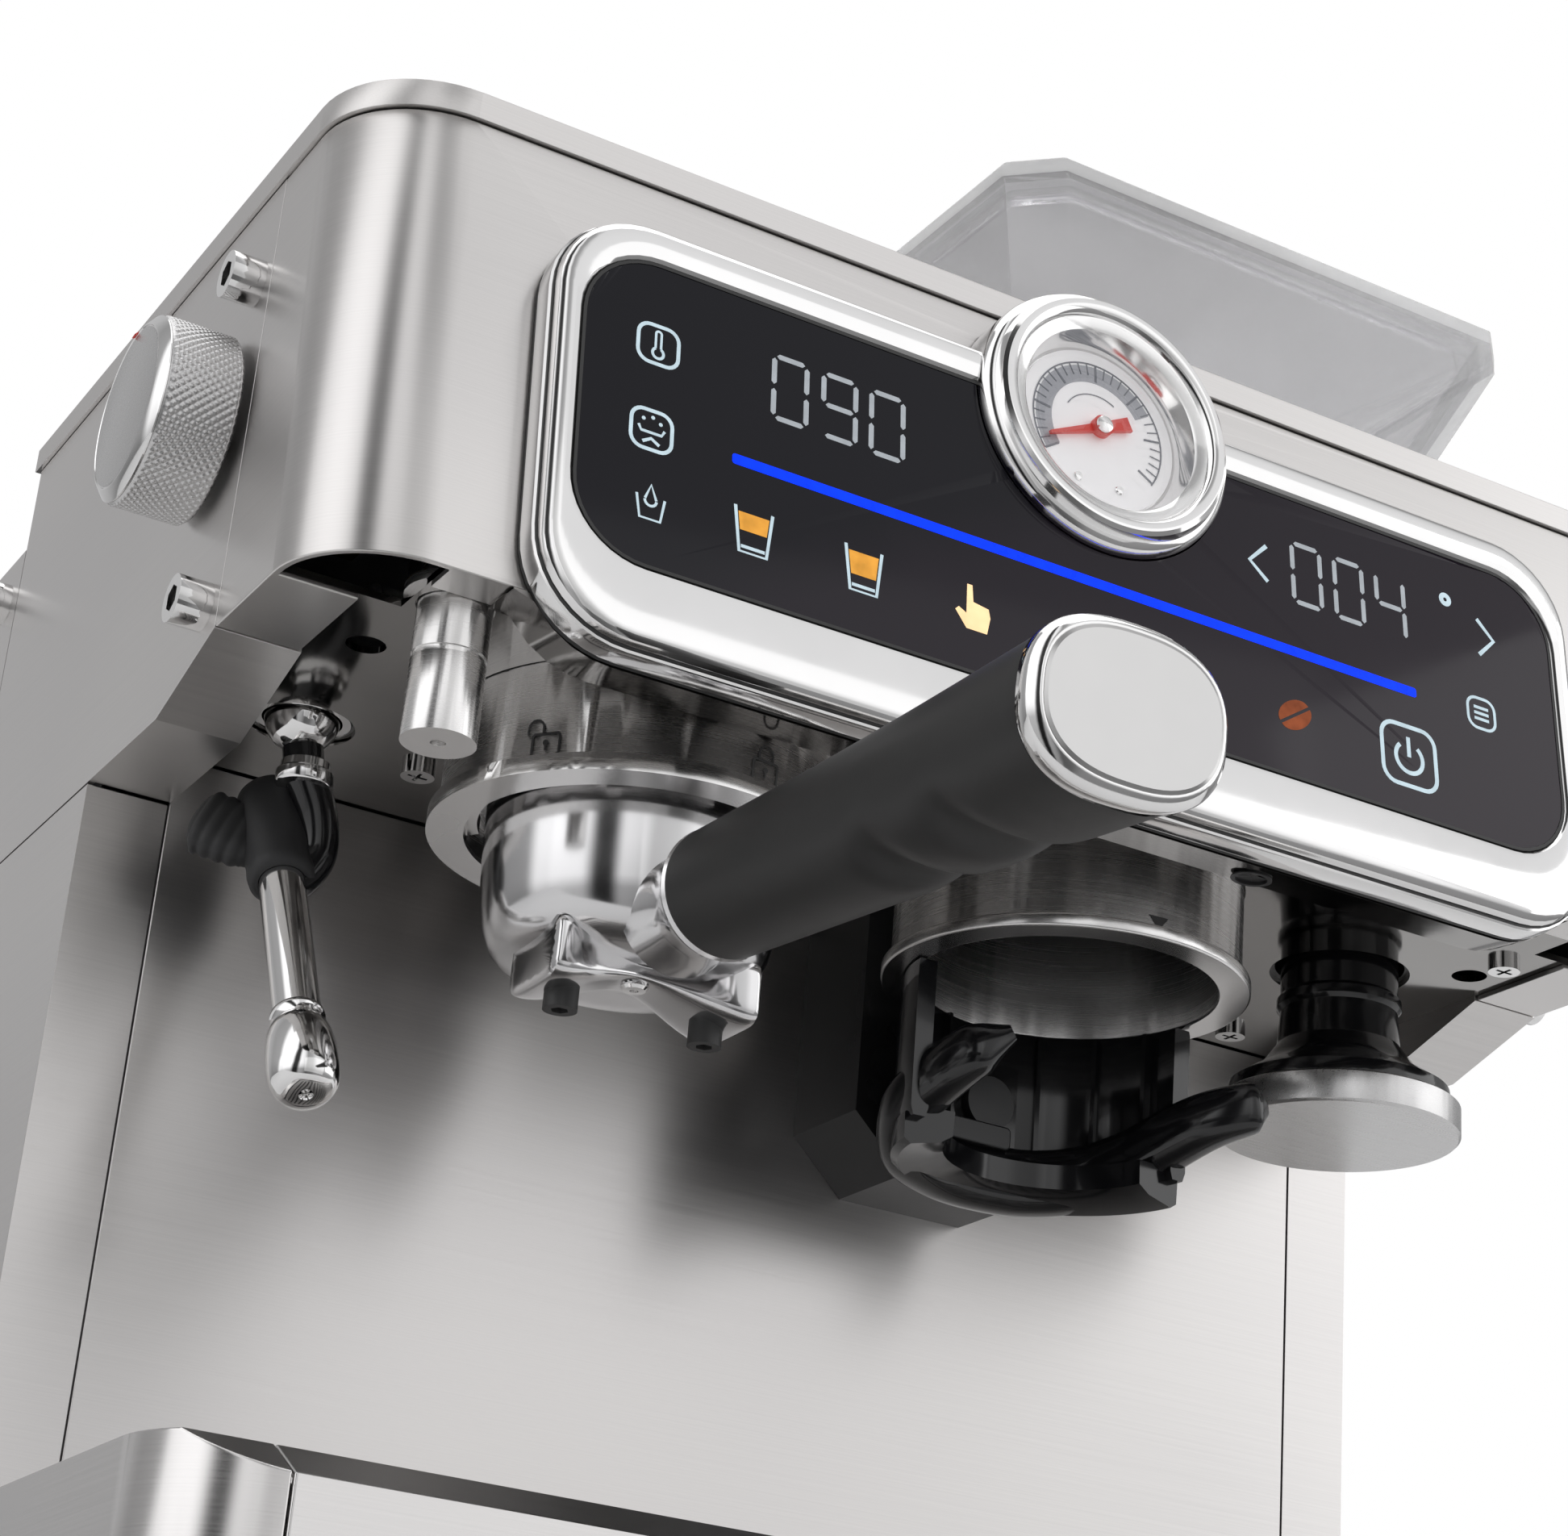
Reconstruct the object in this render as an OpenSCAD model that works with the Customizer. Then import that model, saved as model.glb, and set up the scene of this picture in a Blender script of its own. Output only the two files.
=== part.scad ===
// Espresso machine with a built-in grinder: stainless case, touch panel and pressure gauge,
// locking portafilter, steam wand, hot-water spout, tamper, drip tray and rear water tank.
// Machine axes: X across the front, Y towards the back, Z up from the counter.

/* [Case] */
// Width across the side panels
body_w = 330; // [326:1:334]
// Height of the lower front edge of the head above the counter
head_z = 227; // [225:1:230]
// Height of the front face of the head
head_h = 101.5; // [100:0.5:103]
// Backward lean of the front face, in degrees
lean = 6; // [5:0.5:7]
// Radius of the vertical front corners
corner_r = 23; // [20:1:25]
// Sheet metal thickness
sheet = 1.5; // [1.2:0.1:1.6]

/* [Control panel] */
// Width of the chrome bezel
bezel_w = 254; // [250:1:260]
// Height of the chrome bezel along the leaning face
bezel_h = 96; // [94:1:97]
// Outer radius of the gauge ring
gauge_r = 31; // [30:0.5:32]

/* [Brewing] */
// Outer radius of the brew group collar
group_r = 40; // [39:0.5:41]
// Outer radius of the portafilter bowl near its top
bowl_r = 30.5; // [30:0.1:30.8]
// Length of the black handle with its end cap
handle_len = 134; // [130:1:138]

/* [Grinder and tamper] */
// Outer radius of the grinder outlet collar
outlet_r = 38; // [37:0.5:38.5]
// Radius of the tamper's steel base
tamper_r = 27.5; // [26:0.5:28]
// Height of the bean hopper with its lid
hopper_h = 68; // [60:1:72]

/* [Steam] */
// Radius of the steam knob
knob_r = 20; // [18:0.5:21]

/* [Base and tank] */
// Height of the base
base_h = 68; // [66:1:69]
// Height of the removable water tank
tank_h = 228; // [220:1:230]

/* [Hidden] */
$fn = 72;
gap = 0.3;
hw = body_w / 2;
front_y = -52.7;
column_y = 69.5;
back_y = 158;
rear_y = 232;
foot_h = 6;
pan_top = 9;
stile_x = 147;
head_top = head_z + head_h;
top_t = 6;
drop = 9.5;
column_top = head_z - drop - gap;
base_front = -50;
fascia_w = 289;
chamfer_z = 6;
chamfer_y = 10.7;
plate_z = head_z + 1.2;
plate_top = plate_z + sheet;
gauge_v = 76.5;
bezel_v = -10.5;
bezel_d = 10;
glass_v = 41.5;
group_x = -73;
group_y = -3;
rim_z = head_z - 23;
outlet_x = 37;
outlet_y = 6;
tamper_x = 115;
tamper_y = 10;
grinder_x = 87.5;
grinder_y = 70;
burr_z = head_z + 62;
ball = [-132.5, 36, head_z + 3];
spout_x = -130.5;
spout_y = -35;
knob_y = 21;
knob_z = head_z + 51;
knob_reach = 19;
bolt_reach = 7;
bolt_places = [[8, head_z + 80], [8, head_z + 7], [168, head_z + 69]];
hose_z = base_h + 9;
pump_z = 120;
tilt = 3.7;
handle_start = 40;
cap_face_r = 14.5;
gland_reach = 4;
handle_end = (handle_start + handle_len) * cos(tilt) + cap_face_r * sin(tilt) - group_y;

// Shift that puts the origin under the middle of the bounding box.
centre_shift = [(knob_reach - bolt_reach) / 2, (handle_end - rear_y - gland_reach) / 2, 0];

// ---- shared shapes ----

// Box between two opposite corners.
module block(a, b) {
    translate(a) cube(b - a);
}

module round_rect(w, h, r) {
    square([w - 2 * r, h], center = true);
    square([w, h - 2 * r], center = true);
    for (x = [-1, 1], y = [-1, 1])
        translate([x * (w / 2 - r), y * (h / 2 - r)]) circle(r);
}

// Plan outline from y0 back to y1 with its two front corners rounded.
module front_rounded(w, y0, y1, r) {
    translate([-w / 2, y0 + r]) square([w, y1 - y0 - r]);
    translate([-w / 2 + r, y0]) square([w - 2 * r, r + 1]);
    for (x = [-1, 1]) translate([x * (w / 2 - r), y0 + r]) circle(r);
}

module ring(r_out, r_in, z0, z1) {
    difference() {
        translate([0, 0, z0]) cylinder(r = r_out, h = z1 - z0);
        translate([0, 0, z0 - 1]) cylinder(r = r_in, h = z1 - z0 + 2);
    }
}

// Local frame of the leaning face: x across, y up the face, z outwards.
module on_front() translate([0, front_y, head_z]) rotate([90 - lean, 0, 0]) children();

module on_gauge() on_front() translate([0, gauge_v, 0]) children();

module at_group() translate([group_x, group_y, 0]) children();

module at_outlet() translate([outlet_x, outlet_y, 0]) children();

module at_grinder() translate([grinder_x, grinder_y, 0]) children();

module at_tamper() translate([tamper_x, tamper_y, 0]) children();

// Frame of the portafilter handle: z runs forwards along the handle.
module on_handle() translate([group_x, group_y, head_z - 41]) rotate([90 + tilt, 0, 0]) children();

// The shape and its mirror image across the middle of the machine.
module mirrored() {
    children();
    mirror([1, 0, 0]) children();
}

// Straight round rod between two points.
module rod(a, b, r) {
    step = b - a;
    turn = acos(step[2] / norm(step));
    heading = atan2(step[1], step[0]);
    translate(a) rotate([0, turn, heading]) cylinder(r = r, h = norm(step));
}

// Round pipe through a list of points, with ball corners.
module pipe(points, r) {
    for (i = [0 : len(points) - 2]) {
        rod(points[i], points[i + 1], r);
        if (i > 0) translate(points[i]) sphere(r = r + 0.1, $fn = 36);
    }
}

// ---- base ----

module feet() {
    color("dimgray") for (x = [-138, 138], y = [-28, 205])
        translate([x, y, 0]) cylinder(r = 12, h = foot_h);
}

// Solid outline of the base, drawn in by t on every side but the bottom.
module base_form(t, z0) {
    top = base_h - t;
    intersection() {
        translate([0, 0, z0]) linear_extrude(top - z0)
            front_rounded(body_w + 2 - 2 * t, base_front + t, rear_y - t, corner_r + 2 - t);
        translate([-hw - 5, 0, 0]) rotate([90, 0, 90]) linear_extrude(body_w + 10) polygon([
            [base_front + t, 0], [base_front + t, base_h - chamfer_z - 0.59 * t],
            [base_front + chamfer_y + 0.26 * t, top], [rear_y - t, top], [rear_y - t, 0]
        ]);
    }
}

module base_shell() {
    color("silver") difference() {
        base_form(0, foot_h + 1);
        base_form(sheet, foot_h - 1);
        block([-fascia_w / 2 - gap, base_front - 1, 0], [fascia_w / 2 + gap, column_y, base_h + 1]);
        block([-stile_x - gap, column_y - 1, 0], [stile_x + gap, back_y - 2, base_h + 1]);
        block([sheet - hw, column_y + sheet, 0], [hw - sheet, back_y - 2, base_h + 1]);
        block([107, rear_y - 5, 24], [123, rear_y + 5, 40]);
    }
}

// Floor pan, side walls and back wall that carry everything else.
module chassis() {
    t = 2;
    wall_x = hw - sheet;
    color("darkgray") difference() {
        union() {
            translate([0, 0, foot_h]) linear_extrude(pan_top - foot_h)
                front_rounded(body_w + 2 - 2 * sheet, base_front + sheet, rear_y - sheet, corner_r + 2 - sheet);
            mirrored() {
                block([-wall_x, column_y + sheet, pan_top], [-wall_x + t, back_y - 2, head_top]);
                block([-wall_x, column_y + sheet, pan_top], [-stile_x + 7, column_y + sheet + t, column_top]);
                block([-wall_x, back_y - 4, head_z + 40], [-wall_x + t, back_y + 18, head_z + 78]);
            }
            block([-wall_x, back_y - 4, pan_top], [wall_x, back_y - 2, head_top]);
        }
        block([-15, back_y - 10, hose_z - 5], [-5, back_y, hose_z + 5]);
        mirrored() bolt_holes();
    }
}

module column_sides() {
    color("silver") mirrored() {
        block([-hw, column_y, base_h + gap], [-hw + sheet, back_y, column_top]);
        block([-hw, column_y, base_h + gap], [-stile_x - 0.4, column_y + sheet, column_top]);
    }
}

module backsplash() {
    color("silver") block([-stile_x, column_y, base_h - 3], [stile_x, column_y + sheet, plate_z - gap]);
}

// ---- head ----

// One side of the head: outer skin, flange under its lower edge and return up to the plate.
module head_panel() {
    slope_y = 29;
    edge = 1.2;
    translate([-hw, 0, head_z]) rotate([90, 0, 90]) {
        linear_extrude(sheet) polygon([
            [gap, 0.5], [slope_y, -drop], [back_y, -drop], [back_y, head_h - gap], [gap, head_h - gap]
        ]);
        linear_extrude(17) polygon([
            [gap, -0.1], [slope_y, -drop], [69, -drop], [69, edge - drop], [slope_y + 0.4, edge - drop],
            [gap, edge - 0.1]
        ]);
        translate([0, 0, 16.8]) linear_extrude(edge)
            polygon([[gap, -0.1], [slope_y, -drop], [69, -drop], [69, edge], [gap, edge]]);
    }
}

module bolt_holes() {
    for (p = bolt_places)
        translate([-hw - 1, p[0], p[1]]) rotate([0, 90, 0]) cylinder(r = 3.2, h = 6);
}

module left_head_panel() {
    color("silver") difference() {
        head_panel();
        bolt_holes();
        translate([-hw - 1, knob_y, knob_z]) rotate([0, 90, 0]) cylinder(r = 6, h = sheet + 2);
    }
}

module right_head_panel() {
    color("silver") mirror([1, 0, 0]) difference() {
        head_panel();
        bolt_holes();
    }
}

module head_wrap() {
    t = sheet;
    reach = 20;
    color("silver") difference() {
        union() {
            intersection() {
                translate([0, front_y, head_z]) rotate([-lean, 0, 0]) translate([0, 0, -reach])
                    linear_extrude(head_h + 2 * reach) difference() {
                        front_rounded(body_w, 0, 110, corner_r);
                        front_rounded(body_w - 2 * t, t, 111, corner_r - t);
                    }
                block([-hw - 1, -90, head_z], [hw + 1, 0, head_top - gap]);
            }
            block([-139, front_y + 0.8, head_z], [139, -42.6, plate_z]);
            mirrored() block([-hw + 0.8, -29, head_z], [-147.5, 0, plate_z]);
        }
        on_front() block([-108, 14, -8], [108, 70, 4]);
        on_gauge() translate([0, 0, -8]) cylinder(r = 23, h = 12);
        at_group() translate([0, 0, head_z - 1]) cylinder(r = group_r + gap, h = 4);
    }
}

module top_plate() {
    z1 = head_top + top_t;
    lip_y = front_y + head_h * tan(lean) - 1;
    color("silver") difference() {
        translate([0, 0, head_top]) linear_extrude(top_t)
            front_rounded(body_w + 2, lip_y, back_y + 2, corner_r + 1);
        translate([0, 0, z1 - 2]) linear_extrude(3)
            front_rounded(body_w - 14, lip_y + 8, back_y - 6, corner_r - 7);
        at_grinder() translate([0, 0, head_top - 1]) cylinder(r = 41, h = top_t + 2);
        on_gauge() translate([0, 0, -12]) cylinder(r = gauge_r + gap, h = 24);
    }
}

module under_plate() {
    z0 = plate_z;
    hole_h = sheet + 2;
    color("dimgray") difference() {
        union() {
            block([-162, -29, z0], [162, -gap, z0 + sheet]);
            block([-stile_x - 0.4, -1, z0], [stile_x + 0.4, 69, z0 + sheet]);
            block([-139, -49.5, z0], [139, -28, z0 + sheet]);
        }
        at_group() translate([0, 0, z0 - 1]) cylinder(r = group_r + gap, h = hole_h);
        at_outlet() translate([0, 0, z0 - 1]) cylinder(r = outlet_r + gap, h = hole_h);
        at_tamper() translate([0, 0, z0 - 1]) cylinder(r = 16, h = hole_h);
        translate([ball[0], ball[1], z0 - 1]) cylinder(r = 11, h = hole_h);
        translate([spout_x, spout_y, z0 - 1]) cylinder(r = 7.6, h = hole_h);
        mirrored() translate([-137.5, -8.8, z0 - 1]) cylinder(r = 4, h = hole_h);
    }
}

module rear_shell() {
    z0 = base_h + gap;
    z1 = head_z + 80;
    color("silver") difference() {
        translate([0, 0, z0]) linear_extrude(z1 - z0) mirror([0, 1]) difference() {
            front_rounded(body_w, -rear_y, -back_y - gap, 16);
            front_rounded(body_w - 2 * sheet, -rear_y + sheet, -back_y + 1, 16 - sheet);
        }
        mirrored() bolt_holes();
    }
}

module cap_bolt() {
    rotate([0, 90, 0]) {
        cylinder(r = 3, h = 6);
        translate([0, 0, -bolt_reach]) difference() {
            cylinder(r = 5, h = bolt_reach);
            translate([0, 0, -1]) cylinder(r = 2.9, h = 4.5, $fn = 6);
        }
    }
}

module side_bolts() {
    color("lightgray") mirrored() for (p = bolt_places) translate([-hw, p[0], p[1]]) cap_bolt();
}

module plate_screws() {
    places = [[-126.4, -20], [-104, 41], [78, 60], [120, 58], [138, -20]];
    color("lightgray") for (p = places) translate([p[0], p[1], plate_z - 2]) difference() {
        cylinder(r = 3.6, h = 2);
        for (a = [0, 90]) rotate(a) translate([-2.2, -0.4, -1]) cube([4.4, 0.8, 2]);
    }
}

// ---- control panel ----

module bezel_outline() {
    translate([0, bezel_v + bezel_h / 2]) round_rect(bezel_w, bezel_h, 21);
}

module control_bezel() {
    color("gainsboro") difference() {
        union() {
            on_front() linear_extrude(bezel_d) bezel_outline();
            intersection() {
                on_front() translate([0, 0, -11]) linear_extrude(12) bezel_outline();
                block([-hw, -70, head_z - 20], [hw, -30, head_z - gap]);
            }
        }
        on_front() translate([0, glass_v, 2]) linear_extrude(20) round_rect(bezel_w - 13, 69, 16);
        on_front() block([-106, 16, -2], [106, 68, 4]);
        on_gauge() translate([0, 0, -5]) cylinder(r = gauge_r + gap, h = 30);
        at_group() translate([0, 0, head_z - 20]) cylinder(r = group_r + 2 + gap, h = 20);
    }
}

module touch_panel() {
    color("black") on_front() difference() {
        translate([0, glass_v, 2]) linear_extrude(bezel_d - 3) round_rect(bezel_w - 14, 68, 15.5);
        translate([0, gauge_v, 0]) cylinder(r = gauge_r + gap, h = 30);
    }
}

// The board behind the touch panel and the power board in the column.
module circuit_boards() {
    color("green") {
        on_front() {
            block([-116, 12, -5], [116, 48, -3.4]);
            for (x = [-70, 20, 70]) block([x, 20, -9], [x + 18, 36, -4.5]);
            for (x = [-112, 112]) translate([x, 30, -4]) cylinder(r = 2, h = 4 - sheet);
        }
        block([20, 120, 90], [130, 121.6, 190]);
        block([30, 104, 100], [60, 120.5, 130]);
        block([80, 108, 140], [120, 120.5, 175]);
        for (x = [28, 122], z = [96, 184])
            translate([x, back_y - 4, z]) rotate([90, 0, 0]) cylinder(r = 2.5, h = back_y - 4 - 121);
    }
}

module gauge_housing() {
    color("gainsboro") on_gauge() rotate_extrude() polygon([
        [0, -6], [22, -6], [22, 0], [gauge_r, 0], [gauge_r, 12], [gauge_r - 2.6, 13],
        [gauge_r - 2.8, 15], [24.2, 15], [24, 13.4], [21.5, 13], [19.5, 8], [19.5, 6], [0, 6]
    ]);
}

module gauge_dial() {
    color("white") on_gauge() translate([0, 0, 6]) difference() {
        cylinder(r = 19.2, h = 1.4);
        translate([0, 0, -1]) cylinder(r = 1.6, h = 4);
    }
}

// The thin end of the needle points down and to the left at rest.
module gauge_needle() {
    color("red") on_gauge() translate([0, 0, 8.2]) rotate(204) {
        linear_extrude(0.8)
            polygon([[0, -1.1], [14, -0.35], [14, 0.35], [0, 1.1], [-8, 1.7], [-8, -1.7]]);
        cylinder(r = 2.4, h = 1.6);
        translate([0, 0, -2]) cylinder(r = 1.2, h = 2.2);
    }
}

module gauge_lens() {
    color("white", 0.4) on_gauge() translate([0, 0, 13.4]) cylinder(r = 23.8, h = 1);
}

// ---- brew group ----

module group_collar() {
    color("gainsboro") at_group() difference() {
        union() {
            ring(group_r, 34.5, rim_z, plate_top + 2.5);
            ring(group_r + 2, group_r - 1, rim_z, rim_z + 3.5);
            ring(group_r + 5, group_r - 1, plate_top, plate_top + 2.5);
            ring(35, 32, rim_z + 2.5, rim_z + 6);
        }
        for (a = [-60, 120]) rotate(a) translate([28, -14, rim_z + 1]) cube([6.5, 28, 6]);
    }
}

module group_gasket() {
    color("black") at_group() ring(31.5, 28.5, head_z - 9.4, head_z - 4);
}

module shower_screen() {
    color("silver") at_group() difference() {
        translate([0, 0, head_z - 9]) cylinder(r = 26, h = 1.5);
        for (r = [6, 12, 18], a = [0 : 45 : 315])
            rotate(a + r * 3) translate([r, 0, head_z - 10]) cylinder(r = 1.1, h = 4, $fn = 16);
    }
}

module brew_boiler() {
    color("silver") at_group() {
        translate([0, 0, head_z - 4]) cylinder(r = 34, h = 48);
        translate([0, 0, head_z - 7.5]) cylinder(r = 27, h = 4);
        translate([0, 0, plate_top + 2.5]) cylinder(r = 44, h = 3);
        for (a = [45 : 90 : 315]) rotate(a) translate([28, 0, head_z + 43]) cylinder(r = 3, h = 5);
    }
}

// Cup that holds the filter basket, with two locking ears and the stub of the handle.
module portafilter_bowl() {
    r = bowl_r;
    ear_z = head_z - 14.6;
    color("gainsboro") {
        difference() {
            union() {
                at_group() translate([0, 0, head_z]) rotate_extrude() polygon([
                    [0, -50], [r - 10, -50], [r - 4.5, -47], [r - 2.4, -43], [r, -22],
                    [r, -14.6], [31.6, -14.6], [31.6, -11.3], [0, -11.3]
                ]);
                at_group() intersection() {
                    ring(33.6, 20, ear_z, ear_z + 3.3);
                    for (a = [-15, 165]) rotate(a) translate([22, -11, head_z - 20]) cube([16, 22, 20]);
                }
                on_handle() translate([0, 0, 20]) cylinder(r = 9.5, h = handle_start - 20);
            }
            at_group() translate([0, 0, head_z - 42]) cylinder(r = 28, h = 40);
        }
    }
}

module filter_basket() {
    color("silver") at_group() translate([0, 0, head_z]) rotate_extrude() polygon([
        [0, -36], [26.4, -36], [27.2, -35], [27.2, -11.3], [30.6, -11.3], [30.6, -10], [27.8, -10],
        [26.4, -10.4], [26.4, -34.6], [0, -35.2]
    ]);
}

// Twin-outlet block under the bowl, arched underneath.
block_z = head_z - 59;

module at_block() translate([group_x, group_y - 7, 0]) children();

module spout_block() {
    color("gainsboro") at_block() difference() {
        block([-22, -11, block_z], [22, 11, head_z - 50]);
        translate([0, 12, block_z - 10]) rotate([90, 0, 0]) cylinder(r = 14, h = 24);
        for (x = [-15.8, 15.8]) translate([x, 0, block_z - 1]) cylinder(r = 3.5, h = 6);
    }
}

module spout_screws() {
    color("black") at_block() for (x = [-15.8, 15.8]) translate([x, 0, block_z - 3]) difference() {
        cylinder(r = 3.4, h = 8);
        translate([0, 0, -1]) cylinder(r = 1.8, h = 4, $fn = 6);
    }
}

cap_t = 6;

module handle_grip() {
    n = handle_len - cap_t;
    color("black") on_handle() translate([0, 0, handle_start]) rotate_extrude() polygon([
        [0, 0], [12, 0], [13.2, 2], [13.5, 30], [15.2, 75], [15.9, 105], [15.9, n], [0, n]
    ]);
}

module handle_cap() {
    color("gainsboro") on_handle() translate([0, 0, handle_start + handle_len - cap_t])
        rotate_extrude() polygon([[0, 0], [16.2, 0], [16.2, 4], [cap_face_r, cap_t], [0, cap_t]]);
}

// ---- water and steam ----

module hot_water_spout() {
    z0 = head_z - 26.5;
    color("gainsboro") translate([spout_x, spout_y, 0]) difference() {
        union() {
            translate([0, 0, z0]) cylinder(r = 7.2, h = 16);
            translate([0, 0, z0 + 15]) cylinder(r = 6.8, h = 4);
            translate([0, 0, z0 + 17.2]) cylinder(r = 7.2, h = 22);
            translate([0, 0, plate_top]) cylinder(r = 10, h = 2);
        }
        translate([0, 0, z0 - 1]) cylinder(r = 1.5, h = 10);
    }
}

module steam_knob() {
    reach = knob_reach - 1.5;
    color("silver") translate([-hw - 1.5, knob_y, knob_z]) rotate([0, -90, 0]) {
        rotate_extrude() polygon([
            [0, 0], [knob_r - 0.8, 0], [knob_r, 0.8], [knob_r, reach - 2.6], [knob_r - 2.8, reach], [0, reach]
        ]);
        translate([0, 0, -16]) cylinder(r = 3, h = 16.5);
    }
}

module steam_valve() {
    x0 = -hw + sheet;
    color("goldenrod") difference() {
        block([x0, knob_y - 12, knob_z - 12], [-128, knob_y + 12, knob_z + 12]);
        translate([x0 - 1, knob_y, knob_z]) rotate([0, 90, 0]) cylinder(r = 3.3, h = 30);
    }
}

module wand_socket() {
    color("silver") translate([ball[0], ball[1], 0]) ring(15, 10.3, plate_top, plate_top + 14);
}

// Cap that turns in the socket and holds the ball of the wand.
module wand_swivel() {
    color("silver") translate([ball[0], ball[1], 0]) {
        ring(10, 8.3, ball[2] - 0.8, ball[2] + 9.5);
        translate([0, 0, ball[2] + 9]) cylinder(r = 10, h = 3.5);
    }
}

// Points of the wand, measured from the head's lower edge.
wand_top = [-132, 47.5, head_z - 13];
wand_tip = [-132, 9, head_z - 77.2];
along = (wand_tip - wand_top) / norm(wand_tip - wand_top);
bend = [-124, 36, head_z - 24];
joint_at = wand_top + along * 26;

module wand_link(r) {
    pipe([ball, bend, joint_at], r);
}

module steam_wand() {
    color("gainsboro") {
        translate(ball) sphere(r = 8);
        wand_link(4.2);
        rod(wand_top, wand_tip, 4.8);
        translate(wand_tip) sphere(r = 7);
    }
}

// Insulated sleeve with a finger tab towards the left.
module wand_grip() {
    color("black") difference() {
        union() {
            rod(wand_top - along, wand_top + along * 21, 7.6);
            translate(wand_top + along * 8) rotate([-31, 0, 0]) block([-18, -2.2, -9], [-5, 2.2, 5]);
        }
        rod(wand_top, wand_top + along * 30, 5);
        wand_link(4.6);
    }
}

module steam_boiler() {
    color("silver") {
        block([-150, 84, head_z + 14], [-96, 140, head_z + 70]);
        for (z = [30, 54]) block([-150, 82, head_z + z], [-96, 85, head_z + z + 4]);
        block([-130, 139, head_z + 34], [-116, back_y - 4, head_z + 50]);
    }
}

module water_pump() {
    color("dimgray") {
        translate([-110, 115, pump_z]) rotate([0, 90, 0]) cylinder(r = 20, h = 80);
        block([-95, 100, pan_top], [-45, 130, pump_z - 15]);
    }
}

module water_hoses() {
    color("white") {
        pipe([[-10, 163, hose_z], [-10, 115, hose_z], [-10, 115, pump_z], [-29.8, 115, pump_z]], 3);
        pipe([[-110.2, 115, pump_z], [-125, 115, pump_z], [-125, 115, head_z + 13.8]], 3);
        pipe([[-112, 81.8, head_z + 46], [-112, 60, head_z + 46], [-73, 60, head_z + 46],
            [-73, 60, head_z + 30], [-73, 31.3, head_z + 30]], 3);
        rod([-142, 81.8, head_z + 46], [-142, 33.2, head_z + 46], 3);
    }
}

// Bushing the power cord passes through.
module cord_gland() {
    color("black") translate([115, 0, 32]) rotate([-90, 0, 0]) {
        ring(11, 3.5, rear_y, rear_y + gland_reach);
        ring(7.7, 3.5, rear_y - 8, rear_y + 1);
    }
}

// ---- grinder ----

module outlet_collar() {
    color("gainsboro") at_outlet() {
        ring(outlet_r, 33, rim_z, plate_top + 2.5);
        ring(outlet_r + 2, outlet_r - 1, rim_z, rim_z + 3);
        ring(outlet_r + 5, outlet_r - 1, plate_top, plate_top + 2.5);
    }
}

// Fork that holds the portafilter under the outlet while it fills.
module grind_cradle() {
    z0 = head_z - 64;
    top = rim_z - gap;
    housing_y = 42.2;
    color("black") difference() {
        union() {
            at_outlet() difference() {
                ring(35.5, 31, z0, top);
                block([-50, -50, z0 - 1], [50, 4, top + 1]);
            }
            at_outlet() difference() {
                ring(35.5, 24, z0, z0 + 9);
                block([-50, -50, z0 - 1], [50, -12, top + 1]);
            }
            block([outlet_x + 31, -14, head_z - 49], [outlet_x + 35, 11, head_z - 38]);
            block([outlet_x + 33, -14, head_z - 48], [outlet_x + 46, -4, head_z - 38]);
            block([outlet_x - 35, -8, head_z - 50], [outlet_x - 31, 11, head_z - 36]);
            block([outlet_x - 10, 38, z0 + 7], [outlet_x + 10, housing_y, z0 + 32]);
        }
        translate([outlet_x, 20, head_z - 42]) rotate([-90, 0, 0]) cylinder(r = 6.5, h = 30);
    }
}

// Dark housing behind the cradle, carrying the grind switch.
module chute_housing() {
    low = -60;
    color("dimgray") difference() {
        translate([outlet_x, column_y, head_z]) rotate([90, 0, 0]) linear_extrude(27.3)
            polygon([[-29, 1.2], [-29, low + 12], [-16, low], [16, low], [29, low + 12], [29, 1.2]]);
        translate([outlet_x, 41, head_z - 42]) rotate([-90, 0, 0]) cylinder(r = 6.3, h = 20);
        at_outlet() translate([0, 0, rim_z - 1]) cylinder(r = outlet_r + 2.5, h = 60);
    }
}

module grind_button() {
    color("darkgray") translate([outlet_x, 33, head_z - 42]) rotate([-90, 0, 0]) {
        cylinder(r = 6, h = 18);
        translate([0, 0, 17]) cylinder(r = 3, h = 5);
    }
}

module grinder_body() {
    chute_r = 16;
    reach = norm([grinder_x - outlet_x, grinder_y - outlet_y]);
    heading = atan2(grinder_y - outlet_y, grinder_x - outlet_x);
    color("dimgray") difference() {
        union() {
            at_grinder() translate([0, 0, burr_z - 17]) cylinder(r = 42, h = head_top - 1 - burr_z + 17);
            at_outlet() translate([0, 0, head_z - 4]) cylinder(r = chute_r, h = burr_z - head_z + 4);
            at_outlet() rotate(heading) block([0, -9, burr_z - 14], [reach - 36, 9, burr_z]);
        }
        at_grinder() translate([0, 0, burr_z - 1]) cylinder(r = 34, h = 60);
        at_grinder() translate([0, 0, burr_z - 12]) cylinder(r = 30, h = 14);
        at_grinder() translate([0, 0, burr_z - 20]) cylinder(r = 5, h = 20);
        at_outlet() translate([0, 0, head_z - 5]) cylinder(r = chute_r - 2.5, h = burr_z - head_z + 3);
        at_outlet() rotate(heading) block([0, -7, burr_z - 12], [reach - 28, 7, burr_z - 2]);
    }
}

module grinder_motor() {
    color("gray") at_grinder() difference() {
        translate([0, 0, plate_top]) cylinder(r = 26, h = burr_z - 17 - plate_top);
        translate([0, 0, burr_z - 25]) cylinder(r = 4.3, h = 10);
    }
}

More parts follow.
